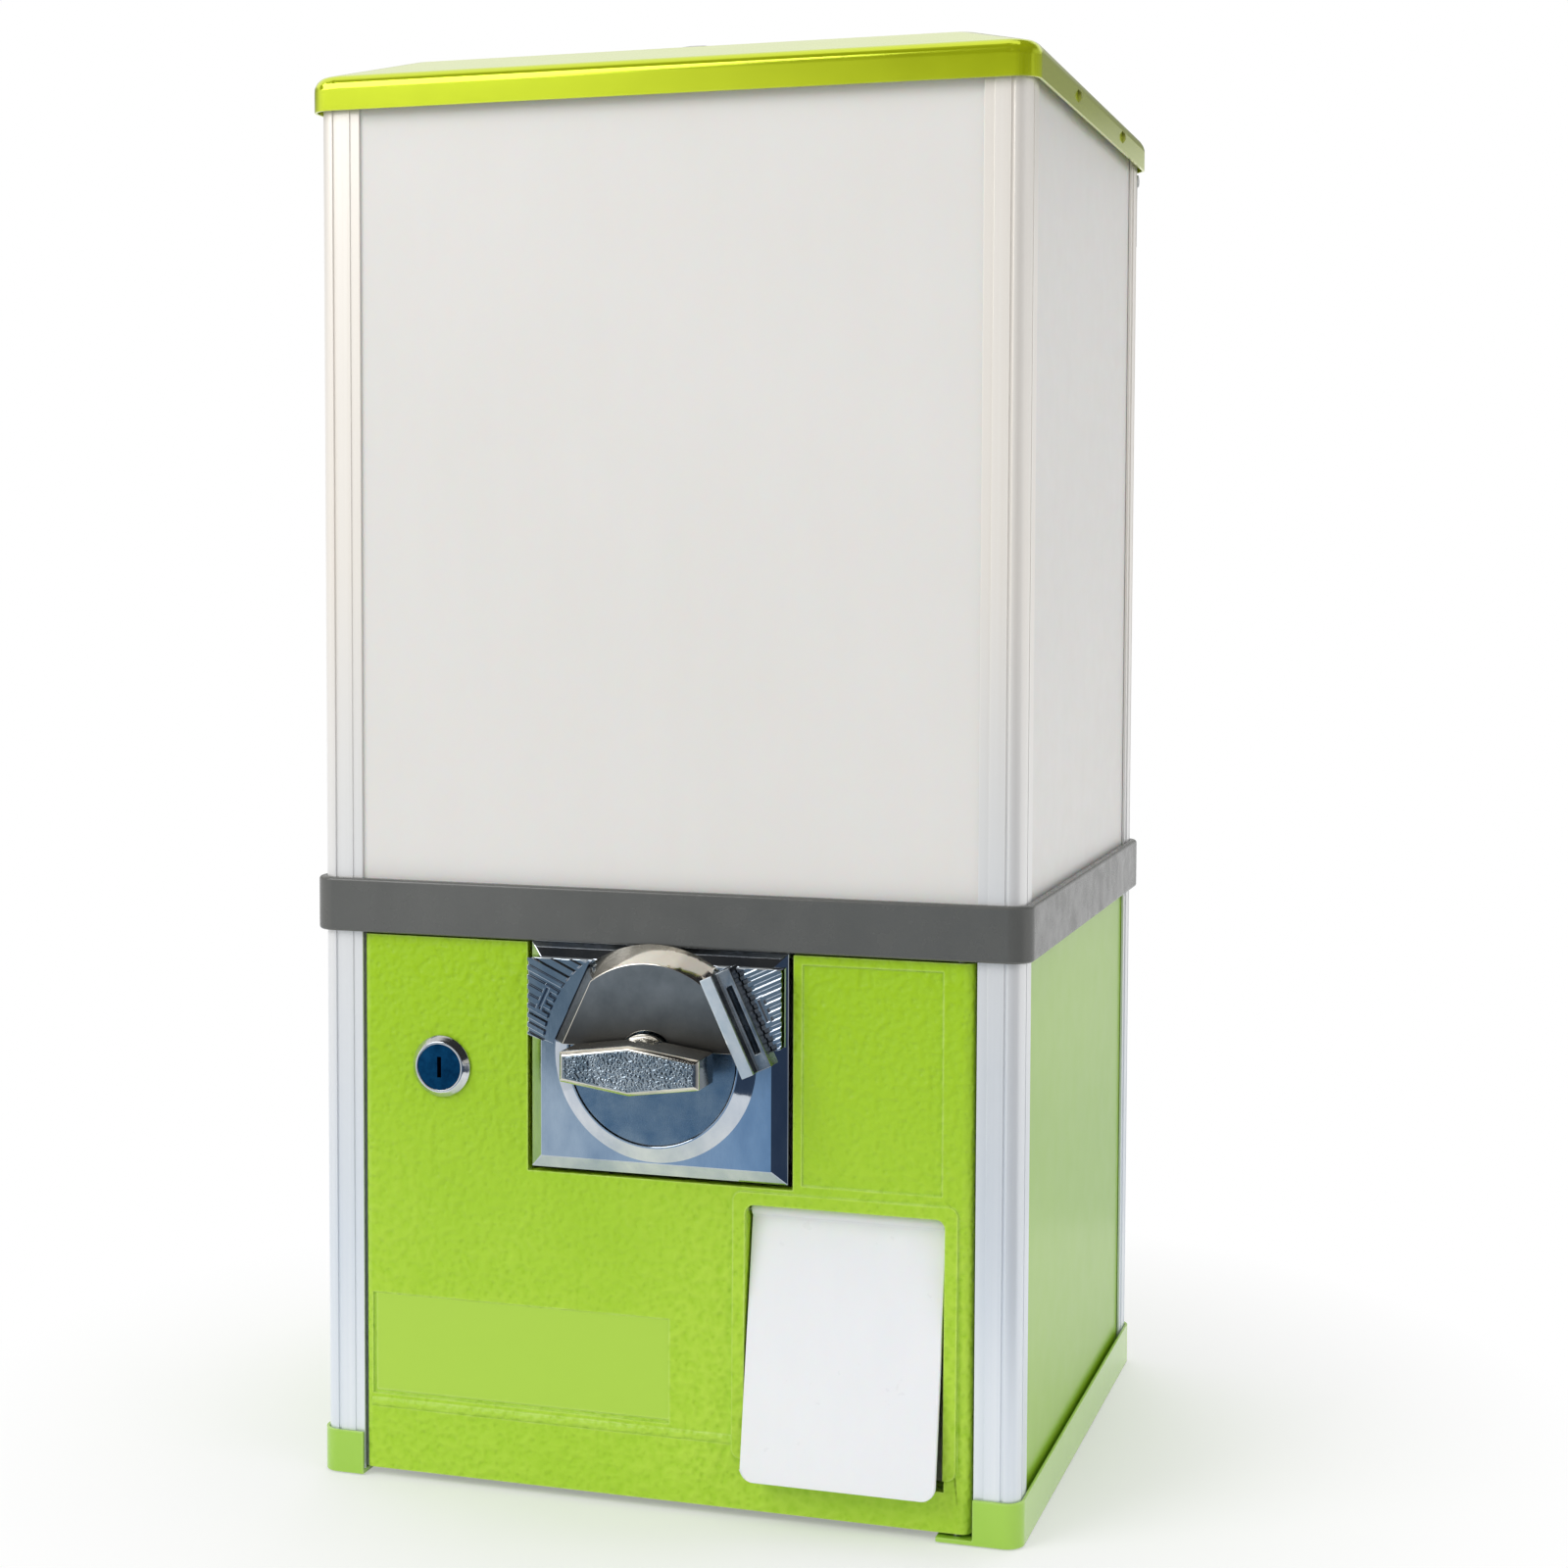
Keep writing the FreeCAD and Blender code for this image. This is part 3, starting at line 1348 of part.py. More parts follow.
def hopper_deck():
    deck = inside_prism((shelf_top, deck_top))
    through = deck_thickness + 2 * over
    low = shelf_top - over
    deck = deck.cut(rod(outlet_radius, Vector(outlet_x, outlet_y, low), Z_AXIS, through))
    deck = deck.cut(gear_window((low, deck_top + over)))
    for place in bracket_screw_places():
        start = Vector(place.x, place.y, low)
        deck = deck.cut(rod(bracket_screw_radius + press_fit, start, Z_AXIS, through))
    spigot = rod(axle_radius + press_fit, Vector(0, wheel_y, low), Z_AXIS, through)
    return deck.cut(spigot)


def hopper_funnel():
    """A round well about the wheel, with a cone that runs up to the panels."""
    centre = Vector(0, wheel_y, deck_top)
    rise = funnel_reach * math.tan(math.radians(funnel_slope))
    well_outer = well_radius + well_wall
    well = tube(well_outer, well_radius, centre, Z_AXIS, well_top - deck_top)
    cone_base = Vector(0, wheel_y, well_top)
    outer = Part.makeCone(well_outer, well_outer + funnel_reach, rise, cone_base)
    lift = well_wall / math.cos(math.radians(funnel_slope))
    inner_radius = well_radius + well_wall - lift / math.tan(math.radians(funnel_slope))
    inner = Part.makeCone(inner_radius, inner_radius + funnel_reach, rise, cone_base)
    bore = rod(well_radius, Vector(0, wheel_y, deck_top), Z_AXIS, well_top - deck_top + over)
    cone = outer.cut(inner).cut(bore)
    return join(well, cone.common(inside_prism((deck_top, well_top + rise))))


def outlet_guard():
    """A plate over the outlet, fixed to the well, that keeps more capsules from falling in."""
    outer = well_radius - press_fit
    low = wheel_top + axle_flange_height
    plate = tube(outer, guard_inner_radius, Vector(0, wheel_y, low), Z_AXIS, guard_sheet)
    reach = 2 * well_radius
    centre = Vector(0, wheel_y, low - over)
    ends = [centre + polar(reach, outlet_angle + side * guard_half_angle) for side in (-1, 1)]
    sector = polygon_prism([centre] + ends, Z_AXIS * (guard_sheet + 2 * over))
    return plate.common(sector)


def wheel_axle():
    start = Vector(0, wheel_y, shelf_top)
    stem = rod(axle_radius, start, Z_AXIS, wheel_top - cap_fin_thickness - shelf_top)
    flange = rod(axle_flange_radius, Vector(0, wheel_y, deck_top), Z_AXIS, axle_flange_height)
    return join(stem, flange)


# Dispensing wheel
def crown_tooth(turn):
    """A straight-sided tooth below the rim, along a radius."""
    outline = [
        (-tooth_root_half, crown_root_z), (-tooth_tip_half, crown_tip_z),
        (tooth_tip_half, crown_tip_z), (tooth_root_half, crown_root_z)]
    inner = crown_radius - crown_face / 2
    tooth = prism_y(outline, (inner, inner + crown_face))
    tooth.rotate(Vector(0, 0, 0), Z_AXIS, turn - 90)
    tooth.translate(Vector(0, wheel_y, 0))
    return tooth


def dispensing_wheel():
    """A drum with through pockets, and a rim with crown teeth on its underside."""
    centre = Vector(0, wheel_y, wheel_bottom)
    drum = rod(drum_radius, centre, Z_AXIS, drum_height)
    rim = rod(rim_radius, Vector(0, wheel_y, crown_root_z), Z_AXIS, rim_thickness)
    step = 360.0 / crown_teeth
    first = step / 2 - 90
    teeth = [crown_tooth(first + number * step) for number in range(crown_teeth)]
    wheel = join(drum, rim, *teeth)
    through = drum_height + 2 * over
    for number in range(pocket_count):
        place = polar(pocket_circle, outlet_angle + number * 360.0 / pocket_count)
        start = centre + place - Z_AXIS * over
        wheel = wheel.cut(rod(pocket_radius, start, Z_AXIS, through))
    return wheel.cut(rod(axle_radius + running_fit, centre - Z_AXIS * over, Z_AXIS, through))


def agitator_cap():
    """A finned cone on the wheel that stirs what lies above it."""
    start = Vector(0, wheel_y, wheel_top)
    cone = Part.makeCone(cap_base_radius, cap_top_radius, cap_height, start)
    fin_z = (wheel_top, wheel_top + cap_height / 2)
    half = cap_fin_thickness / 2
    lengthways = block((-cap_fin_length, cap_fin_length), (wheel_y - half, wheel_y + half), fin_z)
    crossways = block((-half, half), (wheel_y - cap_fin_length, wheel_y + cap_fin_length), fin_z)
    return join(cone, lengthways, crossways)


# Delivery chute
def delivery_chute():
    """A sheet chute: a drop below the outlet, then a ramp to the flap's opening."""
    ramp_back_z = chute_mouth_bottom + chute_ramp_rise
    shoulder_z = chute_mouth_top + chute_flange
    outer = [
        (chute_front, chute_mouth_bottom),
        (chute_front, chute_mouth_top),
        (chute_throat_y, shoulder_z),
        (chute_throat_y, shelf_top),
        (chute_back_y, shelf_top),
        (chute_back_y, ramp_back_z)]
    inner = [
        (chute_front - over, chute_mouth_bottom + chute_wall),
        (chute_front - over, chute_mouth_top - chute_wall),
        (chute_throat_y + chute_wall, shoulder_z - chute_wall),
        (chute_throat_y + chute_wall, shelf_top + over),
        (chute_back_y - chute_wall, shelf_top + over),
        (chute_back_y - chute_wall, ramp_back_z + chute_wall)]
    flange = block(
        (chute_left - chute_flange, chute_right + chute_flange),
        (chute_throat_y - chute_flange, chute_back_y + chute_flange),
        (shelf_top - chute_flange_sheet, shelf_top))
    body = join(prism_x(outer, (chute_left, chute_right)), flange)
    return body.cut(prism_x(inner, (chute_left + chute_wall, chute_right - chute_wall)))


def coin_box():
    z_range = (base_floor, base_floor + box_height)
    y_range = (box_front, box_front + box_length)
    box = block((box_left, box_right), y_range, z_range)
    return box.cut(block(
        (box_left + box_wall, box_right - box_wall),
        (y_range[0] + box_wall, y_range[1] - box_wall),
        (z_range[0] + box_wall, z_range[1] + over)))


def all_nodes():
    """Every piece of the machine under its name."""
    lower_z = (base_floor, band_bottom)
    window_z = (shelf_top, post_top)
    nodes = {
        "base_tray": base_tray(),
        "base_screws": base_screws(),
        "lower_panel_left": side_panel(-1, lower_z),
        "lower_panel_right": side_panel(1, lower_z),
        "lower_panel_rear": end_panel(1, lower_z),
        "mid_band": mid_band(),
        "window_front": end_panel(-1, window_z),
        "window_rear": end_panel(1, window_z),
        "window_left": side_panel(-1, window_z),
        "window_right": side_panel(1, window_z),
        "top_frame": top_frame(),
        "top_frame_screws": top_frame_screws(),
        "lid": lid(),
        "lid_stiffeners": lid_stiffeners(),
        "lid_rivets": lid_rivets(),
        "lid_hinge_fixed_leaves": lid_hinge_fixed_leaves(),
        "lid_hinge_moving_leaves": lid_hinge_moving_leaves(),
        "lid_hinge_pins": lid_hinge_pins(),
        "front_door": front_door(),
        "door_hinge_pins": door_hinge_pins(),
        "flap_pin": flap_pin(),
        "delivery_flap": delivery_flap(),
        "mech_plate": mech_plate(),
        "coin_hood": coin_hood(),
        "coin_slot": coin_slot(),
        "coin_dial": coin_dial(),
        "turn_handle": turn_handle(),
        "handle_pin": handle_pin(),
        "drive_shaft": drive_shaft(),
        "ratchet_wheel": ratchet_wheel(),
        "ratchet_pawl": ratchet_pawl(),
        "pawl_pin": pawl_pin(),
        "drive_pinion": drive_pinion(),
        "idler_gear": idler_gear(),
        "idler_stud": idler_stud(),
        "mech_housing": mech_housing(),
        "mech_brackets": mech_brackets(),
        "mech_screws": mech_screws(),
        "hopper_deck": hopper_deck(),
        "hopper_funnel": hopper_funnel(),
        "outlet_guard": outlet_guard(),
        "wheel_axle": wheel_axle(),
        "dispensing_wheel": dispensing_wheel(),
        "agitator_cap": agitator_cap(),
        "delivery_chute": delivery_chute(),
        "coin_box": coin_box(),
    }
    for side_x, side_y in corners():
        end = "front" if side_y < 0 else "rear"
        side = "left" if side_x < 0 else "right"
        nodes[f"corner_post_{end}_{side}"] = corner_post(side_x, side_y)
    for owner, lock in (("door", door_lock()), ("lid", lid_lock())):
        for piece, shape in lock.items():
            nodes[f"{owner}_lock_{piece}"] = shape
    return nodes


def main():
    os.makedirs("parts", exist_ok=True)
    for name, shape in all_nodes().items():
        shape.exportStep(f"parts/{name}.step")
        print(name, len(shape.Solids), round(shape.Volume), shape.isValid())


main()
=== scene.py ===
"""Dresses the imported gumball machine: rounded edges, materials, a pebbled handle face, studio and camera."""
import json
import math

import bpy
from mathutils import Matrix, Vector, noise


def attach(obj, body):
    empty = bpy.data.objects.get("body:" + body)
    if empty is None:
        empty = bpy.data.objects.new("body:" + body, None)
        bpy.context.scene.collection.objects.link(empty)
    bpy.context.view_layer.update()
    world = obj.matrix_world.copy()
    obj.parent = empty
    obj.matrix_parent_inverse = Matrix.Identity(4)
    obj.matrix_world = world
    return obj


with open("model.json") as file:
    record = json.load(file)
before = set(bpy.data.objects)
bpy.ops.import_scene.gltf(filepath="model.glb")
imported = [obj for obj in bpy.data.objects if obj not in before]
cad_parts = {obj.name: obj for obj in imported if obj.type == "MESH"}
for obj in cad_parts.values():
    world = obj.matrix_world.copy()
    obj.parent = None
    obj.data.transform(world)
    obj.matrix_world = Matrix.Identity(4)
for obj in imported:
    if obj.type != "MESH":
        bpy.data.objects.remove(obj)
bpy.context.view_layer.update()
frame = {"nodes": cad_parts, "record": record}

MM = 0.001
WHITE = (1, 1, 1, 1)
nodes = frame["nodes"]
slot_of = {entry["node"]: entry["material_slot"] for entry in frame["record"]["subparts"]}


def linear(red, green, blue):
    """A colour read on the 0 to 255 scale of a screen, as the shader's own numbers."""
    parts = []
    for value in (red, green, blue):
        share = value / 255
        parts.append(share / 12.92 if share <= 0.04045 else ((share + 0.055) / 1.055) ** 2.4)
    return (*parts, 1.0)


class Shading:
    """A node tree, with short calls for the nodes that the finishes and the studio share."""

    def __init__(self, tree):
        tree.nodes.clear()
        self.tree = tree
        self.where = self.node("ShaderNodeTexCoord")

    def feed(self, socket, value):
        """Links an output to the socket, or sets the socket to a plain value."""
        if isinstance(value, bpy.types.NodeSocket):
            self.tree.links.new(value, socket)
        else:
            socket.default_value = value

    def node(self, kind, **inputs):
        """A new node, with inputs by name, where an underscore stands for a space."""
        made = self.tree.nodes.new(kind)
        for name, value in inputs.items():
            self.feed(made.inputs[name.replace("_", " ")], value)
        return made

    def outcome(self, kind, setting, choice, values):
        """The output of a node whose setting decides which inputs and outputs are in use."""
        made = self.tree.nodes.new(kind)
        setattr(made, setting, choice)
        in_use = [socket for socket in made.inputs if socket.enabled]
        for socket, value in zip(in_use, values):
            self.feed(socket, value)
        return next(socket for socket in made.outputs if socket.enabled)

    def math(self, operation, *values):
        return self.outcome("ShaderNodeMath", "operation", operation, values)

    def vector(self, operation, *values):
        return self.outcome("ShaderNodeVectorMath", "operation", operation, values)

    def mixed(self, share, first, second, kind="RGBA"):
        """Two colours, or two numbers, mixed by a pattern."""
        return self.outcome("ShaderNodeMix", "data_type", kind, (share, first, second))

    def sum(self, first, second, share=1.0):
        """One pattern and a share of another."""
        return self.math("MULTIPLY_ADD", second, share, first)

    def spread(self, value, low=0.0, high=1.0, start=0.3, stop=0.7):
        """Takes a pattern from one range of numbers, start to stop, to another, low to high."""
        made = self.node(
            "ShaderNodeMapRange", Value=value, From_Min=start, From_Max=stop, To_Min=low, To_Max=high)
        return made.outputs["Result"]

    def along(self, axis, space="Object"):
        """The place along an axis of the object, in metres, or of a direction in the world."""
        return self.node("ShaderNodeSeparateXYZ", Vector=self.where.outputs[space]).outputs[axis]

    def steps(self, value, colours):
        """A run of colours, each with its place, along a value from 0 to 1."""
        ramp = self.node("ShaderNodeValToRGB", Fac=value)
        marks = ramp.color_ramp.elements
        while len(marks) < len(colours):
            marks.new(0.5)
        for mark, (place, colour) in zip(marks, colours):
            mark.position = place
            mark.color = (*colour, 1)
        return ramp.outputs["Color"]

    def rays(self, *kinds):
        """1 for rays of the named kinds, and 0 for all others."""
        path = self.node("ShaderNodeLightPath")
        share = path.outputs[kinds[0]]
        for kind in kinds[1:]:
            share = self.math("MAXIMUM", share, path.outputs[kind])
        return share

    def either(self, share, first, second):
        """The first shader where the share is 0, and the second where it is 1."""
        made = self.tree.nodes.new("ShaderNodeMixShader")
        for socket, value in zip(made.inputs, (share, first, second)):
            self.feed(socket, value)
        return made.outputs["Shader"]


class Finish(Shading):
    """A material: one principled shader, and the patterns that drive it."""

    def __init__(self, name, **sockets):
        self.material = bpy.data.materials.new(name)
        self.material.use_nodes = True
        super().__init__(self.material.node_tree)
        self.shader = self.node("ShaderNodeBsdfPrincipled", **sockets)
        self.output = self.node("ShaderNodeOutputMaterial", Surface=self.shader.outputs["BSDF"])

    def drive(self, socket, value):
        self.feed(self.shader.inputs[socket], value)

    def noise(self, scale, detail=3.0, rough=0.55, stretch=(1, 1, 1), distortion=0.0):
        """Clouds, so many to the metre, with the place stretched by a factor on each axis."""
        place = self.node("ShaderNodeMapping", Vector=self.where.outputs["Object"], Scale=stretch)
        made = self.node(
            "ShaderNodeTexNoise", Vector=place.outputs["Vector"], Scale=scale, Detail=detail,
            Roughness=rough, Distortion=distortion)
        return made.outputs["Fac"]

    def cells(self, scale):
        """Rounded cells, so many to the metre."""
        made = self.node("ShaderNodeTexVoronoi", Vector=self.where.outputs["Object"], Scale=scale)
        made.feature = "SMOOTH_F1"
        made.inputs["Smoothness"].default_value = 1.0
        return made.outputs["Distance"]

    def facing(self, axis):
        """1 where the surface faces along an axis of the object, and 0 elsewhere."""
        toward = self.vector("DOT_PRODUCT", self.where.outputs["Normal"], axis)
        return self.spread(toward, start=0.90, stop=0.99)

    def up(self, start, stop, most=1.0):
        """Rises from 0 at one height of the object to the given share at another."""
        return self.spread(self.along("Z"), 0, most, start, stop)

    def inside(self, low, high):
        """1 within an upright rectangle of the object's front, given by (x, z) corners in metres."""
        middle_x, middle_z = ((a + b) / 2 for a, b in zip(low, high))
        half_x, half_z = ((b - a) / 2 for a, b in zip(low, high))
        scaled = self.node(
            "ShaderNodeMapping", Vector=self.where.outputs["Object"],
            Location=(-middle_x / half_x, 0, -middle_z / half_z), Scale=(1 / half_x, 0, 1 / half_z))
        away = self.vector("ABSOLUTE", scaled.outputs["Vector"])
        apart = self.node("ShaderNodeSeparateXYZ", Vector=away)
        larger = self.math("MAXIMUM", apart.outputs["X"], apart.outputs["Z"])
        return self.spread(larger, 1, 0, start=0.985, stop=1.0)

    def edges(self, radius):
        """1 along the edges, where handling wears a finish first and where painted edge highlights go."""
        rounded = self.node("ShaderNodeBevel", Radius=radius)
        rounded.samples = 4
        flat = self.node("ShaderNodeNewGeometry")
        apart = self.vector("DISTANCE", rounded.outputs["Normal"], flat.outputs["Normal"])
        return self.spread(apart, start=0.02, stop=0.25)

    def relief(self, height, depth):
        """Bumps of a height pattern, as deep as the given metres."""
        made = self.node("ShaderNodeBump", Height=height, Distance=depth, Strength=1.0)
        self.drive("Normal", made.outputs["Normal"])


def paint(
        name, dark, light, worn, rough, peel, depth, coat, gloss=0.5, metallic=0.0, hammered=False,
        plain=None, painted_shade=None, rim=None):
    """Baked coating: slow drifts of colour, a grain of its own size, and paler rounded edges of wear and
    painted highlight.

    A hammered coat is pitted. A plain field, given by (x, z) corners, is smooth and has the worn colour.
    A painted shade, for the shadow under the band, comes in between two heights. The edges take the rim's
    colour, a painted highlight, or else the worn one.
    """
    made = Finish(
        name, Coat_Weight=coat, Coat_Roughness=0.12, Specular_IOR_Level=gloss, Metallic=metallic)
    drift = made.sum(made.noise(5.0, detail=2.0), made.noise(38.0, detail=4.0), share=0.3)
    colour = made.mixed(made.spread(drift, start=0.45, stop=0.85), dark, light)
    # Painted shade: darker towards the top of the door, for the shadow under the band's overhang.
    if painted_shade:
        start, stop, deep = painted_shade
        colour = made.mixed(made.up(start, stop, most=0.9), colour, deep)
    if hammered:
        lumps = made.noise(peel * 0.6, detail=1.0, rough=0.4)
        grain = made.sum(lumps, made.cells(peel * 0.8), share=1.1)
        colour = made.mixed(made.spread(grain, start=0.45, stop=1.25), dark, colour)
    else:
        lumps = made.noise(peel, detail=2.0, rough=0.5)
        grain = made.sum(lumps, made.noise(peel * 3.3, detail=2.0), share=0.25)
    if plain:
        field = made.inside(*plain)
        field_level = 0.9
        grain = made.mixed(field, grain, field_level, "FLOAT")
        colour = made.mixed(field, colour, worn)
    # Paler edges: wear, and a painted highlight where a rim colour is given.
    patchy = made.spread(made.noise(110.0), 0.25, 0.85)
    worn_and_highlit_edges = made.math("MULTIPLY", made.edges(1.1 * MM), patchy)
    made.drive("Base Color", made.mixed(worn_and_highlit_edges, colour, rim or worn))
    made.drive("Roughness", made.spread(made.noise(70.0, detail=4.0), rough - 0.01, rough + 0.02))
    made.relief(grain, depth)
    return made.material


def moulded(name, dark, light, rough, grain, depth, scatter=0.0, scatter_size=2 * MM):
    """Moulded plastic: faint flow marks, fine grain and slightly polished edges."""
    made = Finish(
        name, Subsurface_Weight=scatter, Subsurface_Scale=scatter_size, Specular_IOR_Level=0.5)
    flow = made.sum(made.noise(7.0), made.noise(60.0, stretch=(1, 1, 0.25)), share=0.4)
    made.drive("Base Color", made.mixed(made.spread(flow, start=0.45, stop=0.95), dark, light))
    matt = made.spread(made.noise(90.0, detail=4.0), rough - 0.06, rough + 0.08)
    made.drive("Roughness", made.mixed(made.edges(0.8 * MM), matt, rough * 0.6, "FLOAT"))
    fine = made.noise(grain, detail=2.0)
    coarse = made.noise(grain * 0.21, detail=2.0)
    made.relief(made.sum(fine, coarse, share=0.5), depth)
    return made.material


def metal(
        name, dark, light, rough, drift, grain, depth, stretch=(1, 1, 1), grain_stretch=(1, 1, 1)):
    """Bare or plated metal: clouded tone, uneven polish and fine marks in one direction."""
    made = Finish(name, Metallic=1.0)
    cloud = made.sum(
        made.noise(drift, rough=0.5, stretch=stretch, distortion=0.4),
        made.noise(drift * 5.0, detail=4.0, rough=0.6, stretch=stretch), share=0.35)
    made.drive("Base Color", made.mixed(made.spread(cloud, start=0.42, stop=0.88), dark, light))
    marks = made.noise(grain, rough=0.6, stretch=grain_stretch)
    polish = made.sum(marks, cloud, share=0.5)
    made.drive("Roughness", made.spread(polish, *rough, start=0.45, stop=1.0))
    made.relief(marks, depth)
    return made.material


def extruded(name, foot_reflection, head_reflection, reflection_climb):
    """Anodised extrusion: satin, faintly drawn along its length, with a painted reflection that is cool at the
    foot and warm towards the head.
    """
    made = Finish(name, Metallic=0.35)
    lengthwise = (1, 1, 0.004)
    drawn = made.spread(made.noise(260.0, detail=2.0, rough=0.5, stretch=lengthwise))
    # Painted reflection: cool and bluish at the foot, warm higher up, changing with height.
    made.drive("Base Color", made.mixed(
        made.up(*reflection_climb), made.mixed(drawn, *foot_reflection), made.mixed(drawn, *head_reflection)))
    made.drive("Roughness", made.spread(made.noise(30.0), 0.29, 0.33))
    made.relief(made.noise(500.0, detail=2.0, rough=0.5, stretch=lengthwise), 0.001 * MM)
    return made.material


def plated(name, satin, satin_rough, axes, dark, light, rough, drift, shade=None):
    """Plated casting that is satin on the faces along the given axes and polished elsewhere.

    A painted shadow gives the satin a darker colour below one height, which has faded out at a second height.
    """
    made = Finish(name, Metallic=1.0)
    cloud = made.sum(
        made.noise(drift, rough=0.5, distortion=0.5),
        made.noise(drift * 4.0, detail=4.0, rough=0.6), share=0.4)
    bright = made.mixed(made.spread(cloud, start=0.42, stop=0.9), dark, light)
    face = made.facing(axes[0])
    for axis in axes[1:]:
        face = made.sum(face, made.facing(axis))
    dull = made.mixed(made.spread(made.noise(drift * 2.0, detail=4.0)), *satin)
    # Painted shadow: the satin darkens below a height.
    if shade:
        start, stop, shadow_colour = shade
        dull = made.mixed(made.up(start, stop), shadow_colour, dull)
    made.drive("Base Color", made.mixed(face, bright, dull))
    grain = made.noise(2600.0, detail=2.0)
    polish = made.spread(cloud, *rough, start=0.4, stop=0.95)
    matt = made.spread(grain, satin_rough - 0.07, satin_rough + 0.07)
    made.drive("Roughness", made.mixed(face, polish, matt, "FLOAT"))
    made.relief(made.math("MULTIPLY", grain, face), 0.04 * MM)
    return made.material


def ridged(name, ridge_start):
    """Polished step whose raised ridge, in front of a place along Y, is paler than the rest of the step."""
    made = Finish(name, Metallic=1.0)
    fade = 0.2 * MM
    ridge = made.spread(made.along("Y"), 1, 0, ridge_start - fade, ridge_start + fade)
    cloud = made.noise(120.0)
    tone = made.spread(cloud)
    pale = made.mixed(tone, linear(206, 220, 230), linear(236, 242, 246))
    dark = made.mixed(tone, linear(120, 128, 136), linear(176, 182, 188))
    made.drive("Base Color", made.mixed(ridge, dark, pale))
    matt = made.spread(made.noise(1500.0), 0.34, 0.46)
    polish = made.spread(cloud, 0.20, 0.30)
    made.drive("Roughness", made.mixed(ridge, polish, matt, "FLOAT"))
    made.relief(made.noise(900.0), 0.01 * MM)
    return made.material


# Places on the object: the label's (x, z) corners, and the heights of the door's painted shade, the posts'
# painted reflection and the hood's painted shadow.
label_field = ((-132.3 * MM, 37.7 * MM), (5.2 * MM, 82.0 * MM))
door_shade_heights = (120 * MM, 230 * MM)
post_reflection_heights = (100 * MM, 400 * MM)
hood_shadow_heights = (203 * MM, 226 * MM)

finishes = {
    # The door's darker tone near the top is painted shade, and its rim colour is a painted highlight on the
    # edges.
    "door_green": paint(
        "door_green", dark=linear(164, 208, 40), light=linear(184, 221, 66), worn=linear(177, 215, 74),
        rim=linear(204, 232, 122), painted_shade=(*door_shade_heights, linear(162, 206, 10)), plain=label_field,
        rough=0.38, peel=450.0, depth=0.7 * MM, hammered=True, coat=0.05, gloss=0.35),
    "lid_paint": paint(
        "lid_paint", dark=linear(202, 222, 6), light=linear(209, 227, 16), worn=linear(216, 226, 84),
        rough=0.13, peel=160.0, depth=0.003 * MM, coat=0.6, metallic=0.6),
    "tray_paint": paint(
        "tray_paint", dark=linear(152, 201, 42), light=linear(165, 211, 66), worn=linear(190, 222, 128),
        rough=0.36, peel=900.0, depth=0.04 * MM, coat=0.9),
    "panel_paint": paint(
        "panel_paint", dark=linear(146, 192, 34), light=linear(154, 198, 48), worn=linear(180, 213, 104),
        rough=0.32, peel=120.0, depth=0.001 * MM, coat=0.22, gloss=0.45),
    "window_sheet": moulded(
        "window_sheet", dark=linear(232, 230, 226), light=linear(235, 233, 230), rough=0.34, grain=200.0,
        depth=0.004 * MM, scatter=0.2, scatter_size=3 * MM),
    "band_plastic": moulded(
        "band_plastic", dark=linear(87, 88, 86), light=linear(99, 100, 98), rough=0.24, grain=1500.0,
        depth=0.04 * MM),
    "flap_plastic": moulded(
        "flap_plastic", dark=linear(236, 238, 242), light=linear(243, 244, 248), rough=0.33, grain=500.0,
        depth=0.02 * MM, scatter=0.15, scatter_size=1.5 * MM),
    "inner_plastic": moulded(
        "inner_plastic", dark=linear(216, 216, 212), light=linear(228, 228, 224), rough=0.48, grain=900.0,
        depth=0.04 * MM),
    "wheel_plastic": moulded(
        "wheel_plastic", dark=linear(222, 221, 215), light=linear(234, 233, 228), rough=0.42, grain=700.0,
        depth=0.04 * MM),
    "gear_plastic": moulded(
        "gear_plastic", dark=linear(222, 217, 196), light=linear(232, 228, 210), rough=0.40, grain=800.0,
        depth=0.03 * MM),
    "post_aluminium": extruded(
        "post_aluminium", foot_reflection=(linear(223, 230, 239), linear(234, 239, 246)),
        head_reflection=(linear(244, 238, 230), linear(250, 246, 240)), reflection_climb=post_reflection_heights),
    "lock_chrome": metal(
        "lock_chrome", dark=linear(176, 182, 190), light=linear(226, 228, 230), rough=(0.05, 0.16),
        drift=60.0, grain=1400.0, depth=0.004 * MM),
    "lock_face": metal(
        "lock_face", dark=linear(4, 40, 72), light=linear(18, 76, 118), rough=(0.20, 0.40),
        drift=130.0, grain=2400.0, depth=0.02 * MM),
    "zinc_steel": metal(
        "zinc_steel", dark=linear(176, 180, 178), light=linear(206, 208, 203), rough=(0.30, 0.48),
        drift=55.0, grain=900.0, depth=0.02 * MM),
    "bright_steel": metal(
        "bright_steel", dark=linear(188, 190, 192), light=linear(222, 222, 221), rough=(0.16, 0.32),
        drift=70.0, grain=1600.0, depth=0.01 * MM, grain_stretch=(1, 0.1, 1)),
    "cast_housing": metal(
        "cast_housing", dark=linear(150, 152, 155), light=linear(180, 182, 184), rough=(0.44, 0.62),
        drift=40.0, grain=1100.0, depth=0.1 * MM),
    "mech_chrome": metal(
        "mech_chrome", dark=linear(162, 176, 192), light=linear(228, 230, 233), rough=(0.03, 0.09),
        drift=24.0, grain=1500.0, depth=0.003 * MM, stretch=(1, 1, 0.45), grain_stretch=(1, 1, 0.2)),
}

